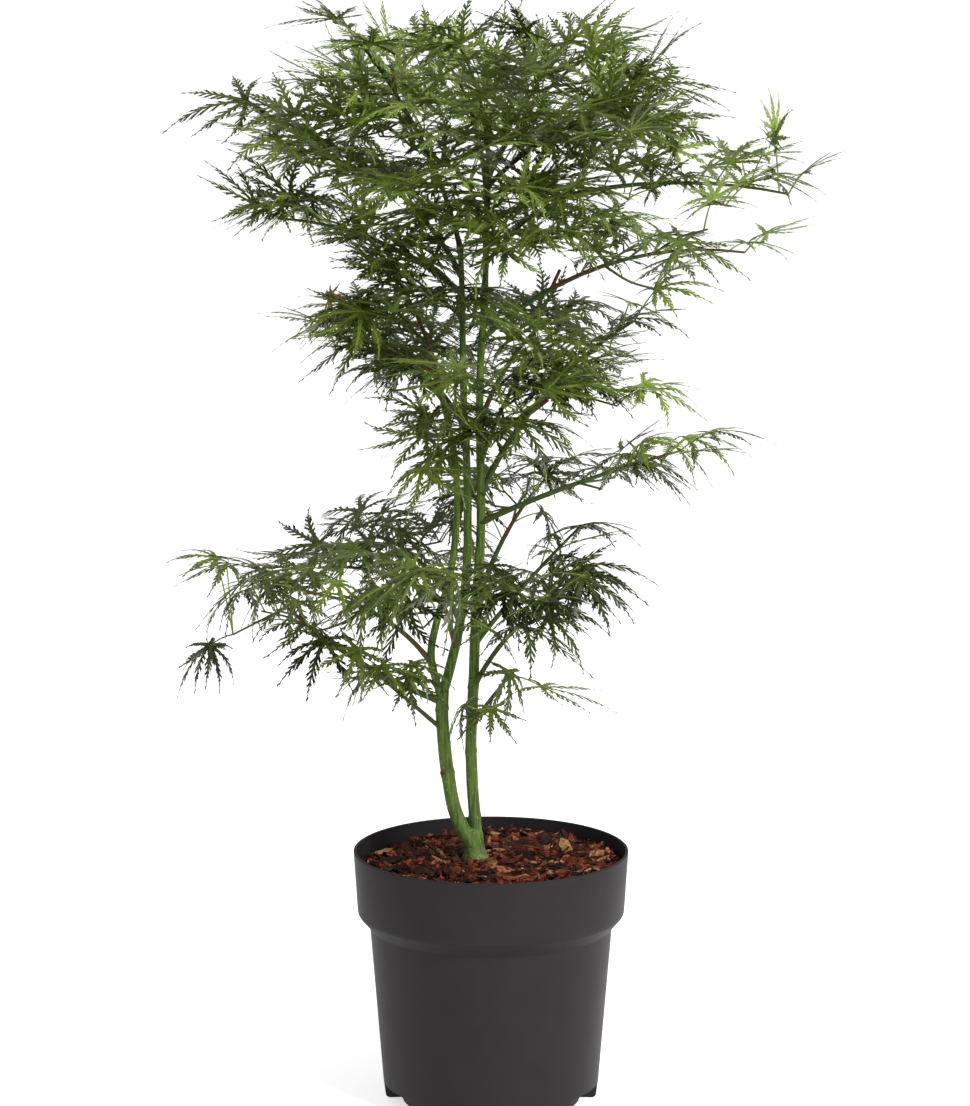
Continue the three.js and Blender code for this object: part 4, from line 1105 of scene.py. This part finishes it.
def chips(count, length, seed, reach):
    """Plates: a ring of corners above and below a middle, scaled, tilted and turned."""
    draw = np.random.default_rng(seed)
    long = draw.uniform(*length, count) * draw.uniform(0.6, 1.0, count)
    wide = long * draw.uniform(0.16, 0.46, count)
    thick = np.minimum(0.34 * wide, draw.uniform(0.9, 3.4, count))
    radius = (reach - 0.5 * long) * np.sqrt(draw.uniform(0.0, 1.0, count))
    around = draw.uniform(0, 2 * np.pi, count)
    x, y = radius * np.cos(around), radius * np.sin(around)
    clear = np.hypot(x - TRUNK_FOOT[0], y - TRUNK_FOOT[1]) > TRUNK_ROOM + 0.35 * long
    angle = np.linspace(0, 2 * np.pi, CORNERS, endpoint=False)
    ragged = draw.uniform(0.55, 1.15, (count, 2, CORNERS))
    above = np.broadcast_to(np.array([-0.5, 0.5])[None, :, None], ragged.shape)
    plate = np.stack([0.5 * long[:, None, None] * ragged * np.cos(angle),
                      0.5 * wide[:, None, None] * ragged * np.sin(angle),
                      above * thick[:, None, None] * draw.uniform(0.6, 1.4, ragged.shape)],
                     axis=-1)
    tilt, nod, turn = (draw.normal(0, 0.42, count), draw.normal(0, 0.34, count),
                       draw.uniform(0, 2 * np.pi, count))
    rotation = turned_about(2, turn) @ turned_about(1, nod) @ turned_about(0, tilt)
    turned = np.einsum("nij,nabj->nabi", rotation, plate)
    z = mulch_height(x, y) + draw.uniform(-0.8, 2.4, count)
    return (turned + np.stack([x, y, z], axis=-1)[:, None, None, :])[clear]


k = np.arange(CORNERS)
after = (k + 1) % CORNERS
fan = np.arange(1, CORNERS - 1)
ONE_CHIP = np.concatenate([  # the walls, the lower face and the upper one
    np.stack([k, after, k + CORNERS], 1), np.stack([after, after + CORNERS, k + CORNERS], 1),
    np.stack([0 * fan, fan + 1, fan], 1), np.stack([0 * fan, fan, fan + 1], 1) + CORNERS])


def lay(name, chosen, material):
    """The chosen chips as one mesh of flat faces."""
    triangles = copies(ONE_CHIP, len(chosen), 2 * CORNERS)
    make_piece(name, [(chosen.reshape(-1, 3), triangles)], [material])


print(len(ONE_CHIP), "triangles a chip")

# %% [markdown]
# ## Laying the mulch
# Every chip draws its tint, and wet tints come first, so that a lower draw on the left gives
# that side more of the darkest chips and the right more of the pale ones: painted shade on the
# left and painted light on the right, over wet chips that lie everywhere. The chips of one tint
# are one mesh. Below them lies the moist mix, a disc that follows the mulch's height, with a
# skirt down along the wall.

# %% Mulch
GRAIN_MM = 2.2
PAINTED_SHADE_SKEW = 0.28  # how far the tints lean dark on the left and pale on the right: painted shade and painted light
DEAL_SEED = 5


def pine_bark(name, dark, light, roughness):
    """Chopped pine bark: dry, matt and fibrous, with a grain a couple of millimetres wide."""
    material, tree, shader = new_material(name, roughness, 0.15)
    grain = noise(tree, surface_place(tree), GRAIN_MM, 3.0)
    tree.links.new(two_tone(tree, grain, dark, light, 0.36, 0.62), shader.inputs["Base Color"])
    return material


CHIP_TINTS = {  # finish, dark and light grain, roughness, share of the chips
    "wet": ("pine_bark_wet", "#110805", "#22110b", 0.6, 0.32),
    "brown": ("pine_bark_brown", "#28110a", "#4a2315", 0.75, 0.33),
    "red": ("pine_bark_red_brown", "#461c0e", "#7a3a1f", 0.75, 0.25),
    "tan": ("pine_bark_fresh_break", "#6a3a20", "#9c6a48", 0.85, 0.08),
    "straw": ("pine_bark_dry_fibre", "#775330", "#a07d54", 0.85, 0.02),
}
chip_points = chips(CHIP_COUNT, CHIP_LENGTH, CHIP_SEED, CHIP_REACH)
crumb_points = chips(CRUMB_COUNT, CRUMB_LENGTH, CRUMB_SEED, CRUMB_REACH)
deal = np.random.default_rng(DEAL_SEED)
edges = np.cumsum([row[-1] for row in CHIP_TINTS.values()])


def tint_numbers(points):
    """One draw a chip picks its tint: draw ** (1 - skew x / 90) is low on the left, so dark wet
    tints come first there, and high on the right: painted shade and painted light.
    """
    draw = deal.uniform(0, 1, len(points)) ** (1 - PAINTED_SHADE_SKEW * points[:, 0, 0, 0] / 90)
    return np.searchsorted(edges, np.clip(draw, 0, 0.999))


chip_tint, crumb_tint = tint_numbers(chip_points), tint_numbers(crumb_points)
for number, (name, (*recipe, _)) in enumerate(CHIP_TINTS.items()):
    bark = pine_bark(*recipe)
    lay(f"bark_chips_{name}", chip_points[chip_tint == number], bark)
    lay(f"bark_crumbs_{name}", crumb_points[crumb_tint == number], bark)

SKIRT_HEIGHT = 150.0  # how far down the mix's rim is drawn along the wall
MIX_BELOW = 0.3  # millimetres that the mix lies below the chips' middles
mix = plain("moist_potting_mix", "#1a0e08", 0.9, 0.1)
mix_radius = np.append([91.6, 91.9], np.linspace(91.4, 0.2, 12))[:, None]
turn = np.radians(np.arange(0, 360, 5))[None, :]
x, y = mix_radius * np.cos(turn), mix_radius * np.sin(turn)
z = mulch_height(x, y) - MIX_BELOW
z[0] = SKIRT_HEIGHT
disc = (np.stack([x, y, z], axis=-1).reshape(-1, 3), grid_triangles(*z.shape))
make_piece("potting_mix", [disc], [mix], ["bark_mulch"], smooth=True)

# %% [markdown]
# ## Studio
# The plant stands on a wide pale floor under a bright even sky, with one large soft light
# from the right and a weaker one from the left, as in a catalogue studio. The camera stands
# well back with a long lens and looks down a little, so that the pot's mouth shows.

# %% Floor, light and camera
FLOOR_HALF = 60.0
FLOOR_BELOW = 0.0005
FLOOR_GLOW, SKY_GLOW = 0.62, 0.54
WHITE = (1.0, 1.0, 1.0, 1.0)
floor_mesh = bpy.data.meshes.new("floor")
floor_mesh.from_pydata([(x * FLOOR_HALF, y * FLOOR_HALF, 0)
                        for x, y in ((-1, -1), (1, -1), (1, 1), (-1, 1))], [], [(0, 1, 2, 3)])
backlit, _, shader = new_material("backlit_acrylic_sheet", 0.9, 0.1)
shader.inputs["Base Color"].default_value = linear("#f2f2f2")
shader.inputs["Emission Color"].default_value = WHITE
shader.inputs["Emission Strength"].default_value = FLOOR_GLOW
floor_mesh.materials.append(backlit)
floor = put("floor", floor_mesh)
floor.location = (0, 0, -FLOOR_BELOW)

world = bpy.data.worlds.new("studio")
world.use_nodes = True
sky = world.node_tree.nodes["Background"]
sky.inputs["Color"].default_value = WHITE
sky.inputs["Strength"].default_value = SKY_GLOW
bpy.context.scene.world = world


def soft_light(name, place, target, size, power):
    """A square area light that looks at a point: its -Z axis is turned along the line."""
    light = bpy.data.lights.new(name, "AREA")
    light.size, light.energy = size, power
    lamp = put(name, light)
    lamp.location = place
    way = np.array(target) - np.array(place)
    lamp.rotation_euler = (math.atan2(math.hypot(*way[:2]), -way[2]), 0,
                           math.atan2(way[1], way[0]) - math.pi / 2)


soft_light("key_right", (1.5, -1.5, 1.9), (0, 0, 0.4), 0.9, 84)
soft_light("fill_left", (-1.8, -1.5, 1.2), (0, 0, 0.4), 1.4, 2)

CAMERA_PLACE = (-0.00415, -2.6, 0.8397)
CAMERA_PITCH = 9.927
FRAME_HEIGHT_PX = 1106
FOCAL_PX = 3871
camera_data = bpy.data.cameras.new("camera")
camera_data.sensor_width = 36.0
camera_data.lens = FOCAL_PX * camera_data.sensor_width / FRAME_HEIGHT_PX
camera = put("camera", camera_data)
camera.location = CAMERA_PLACE
camera.rotation_euler = (math.radians(90 - CAMERA_PITCH), 0, 0)
bpy.context.scene.camera = camera
bpy.context.scene.view_settings.view_transform = "Standard"
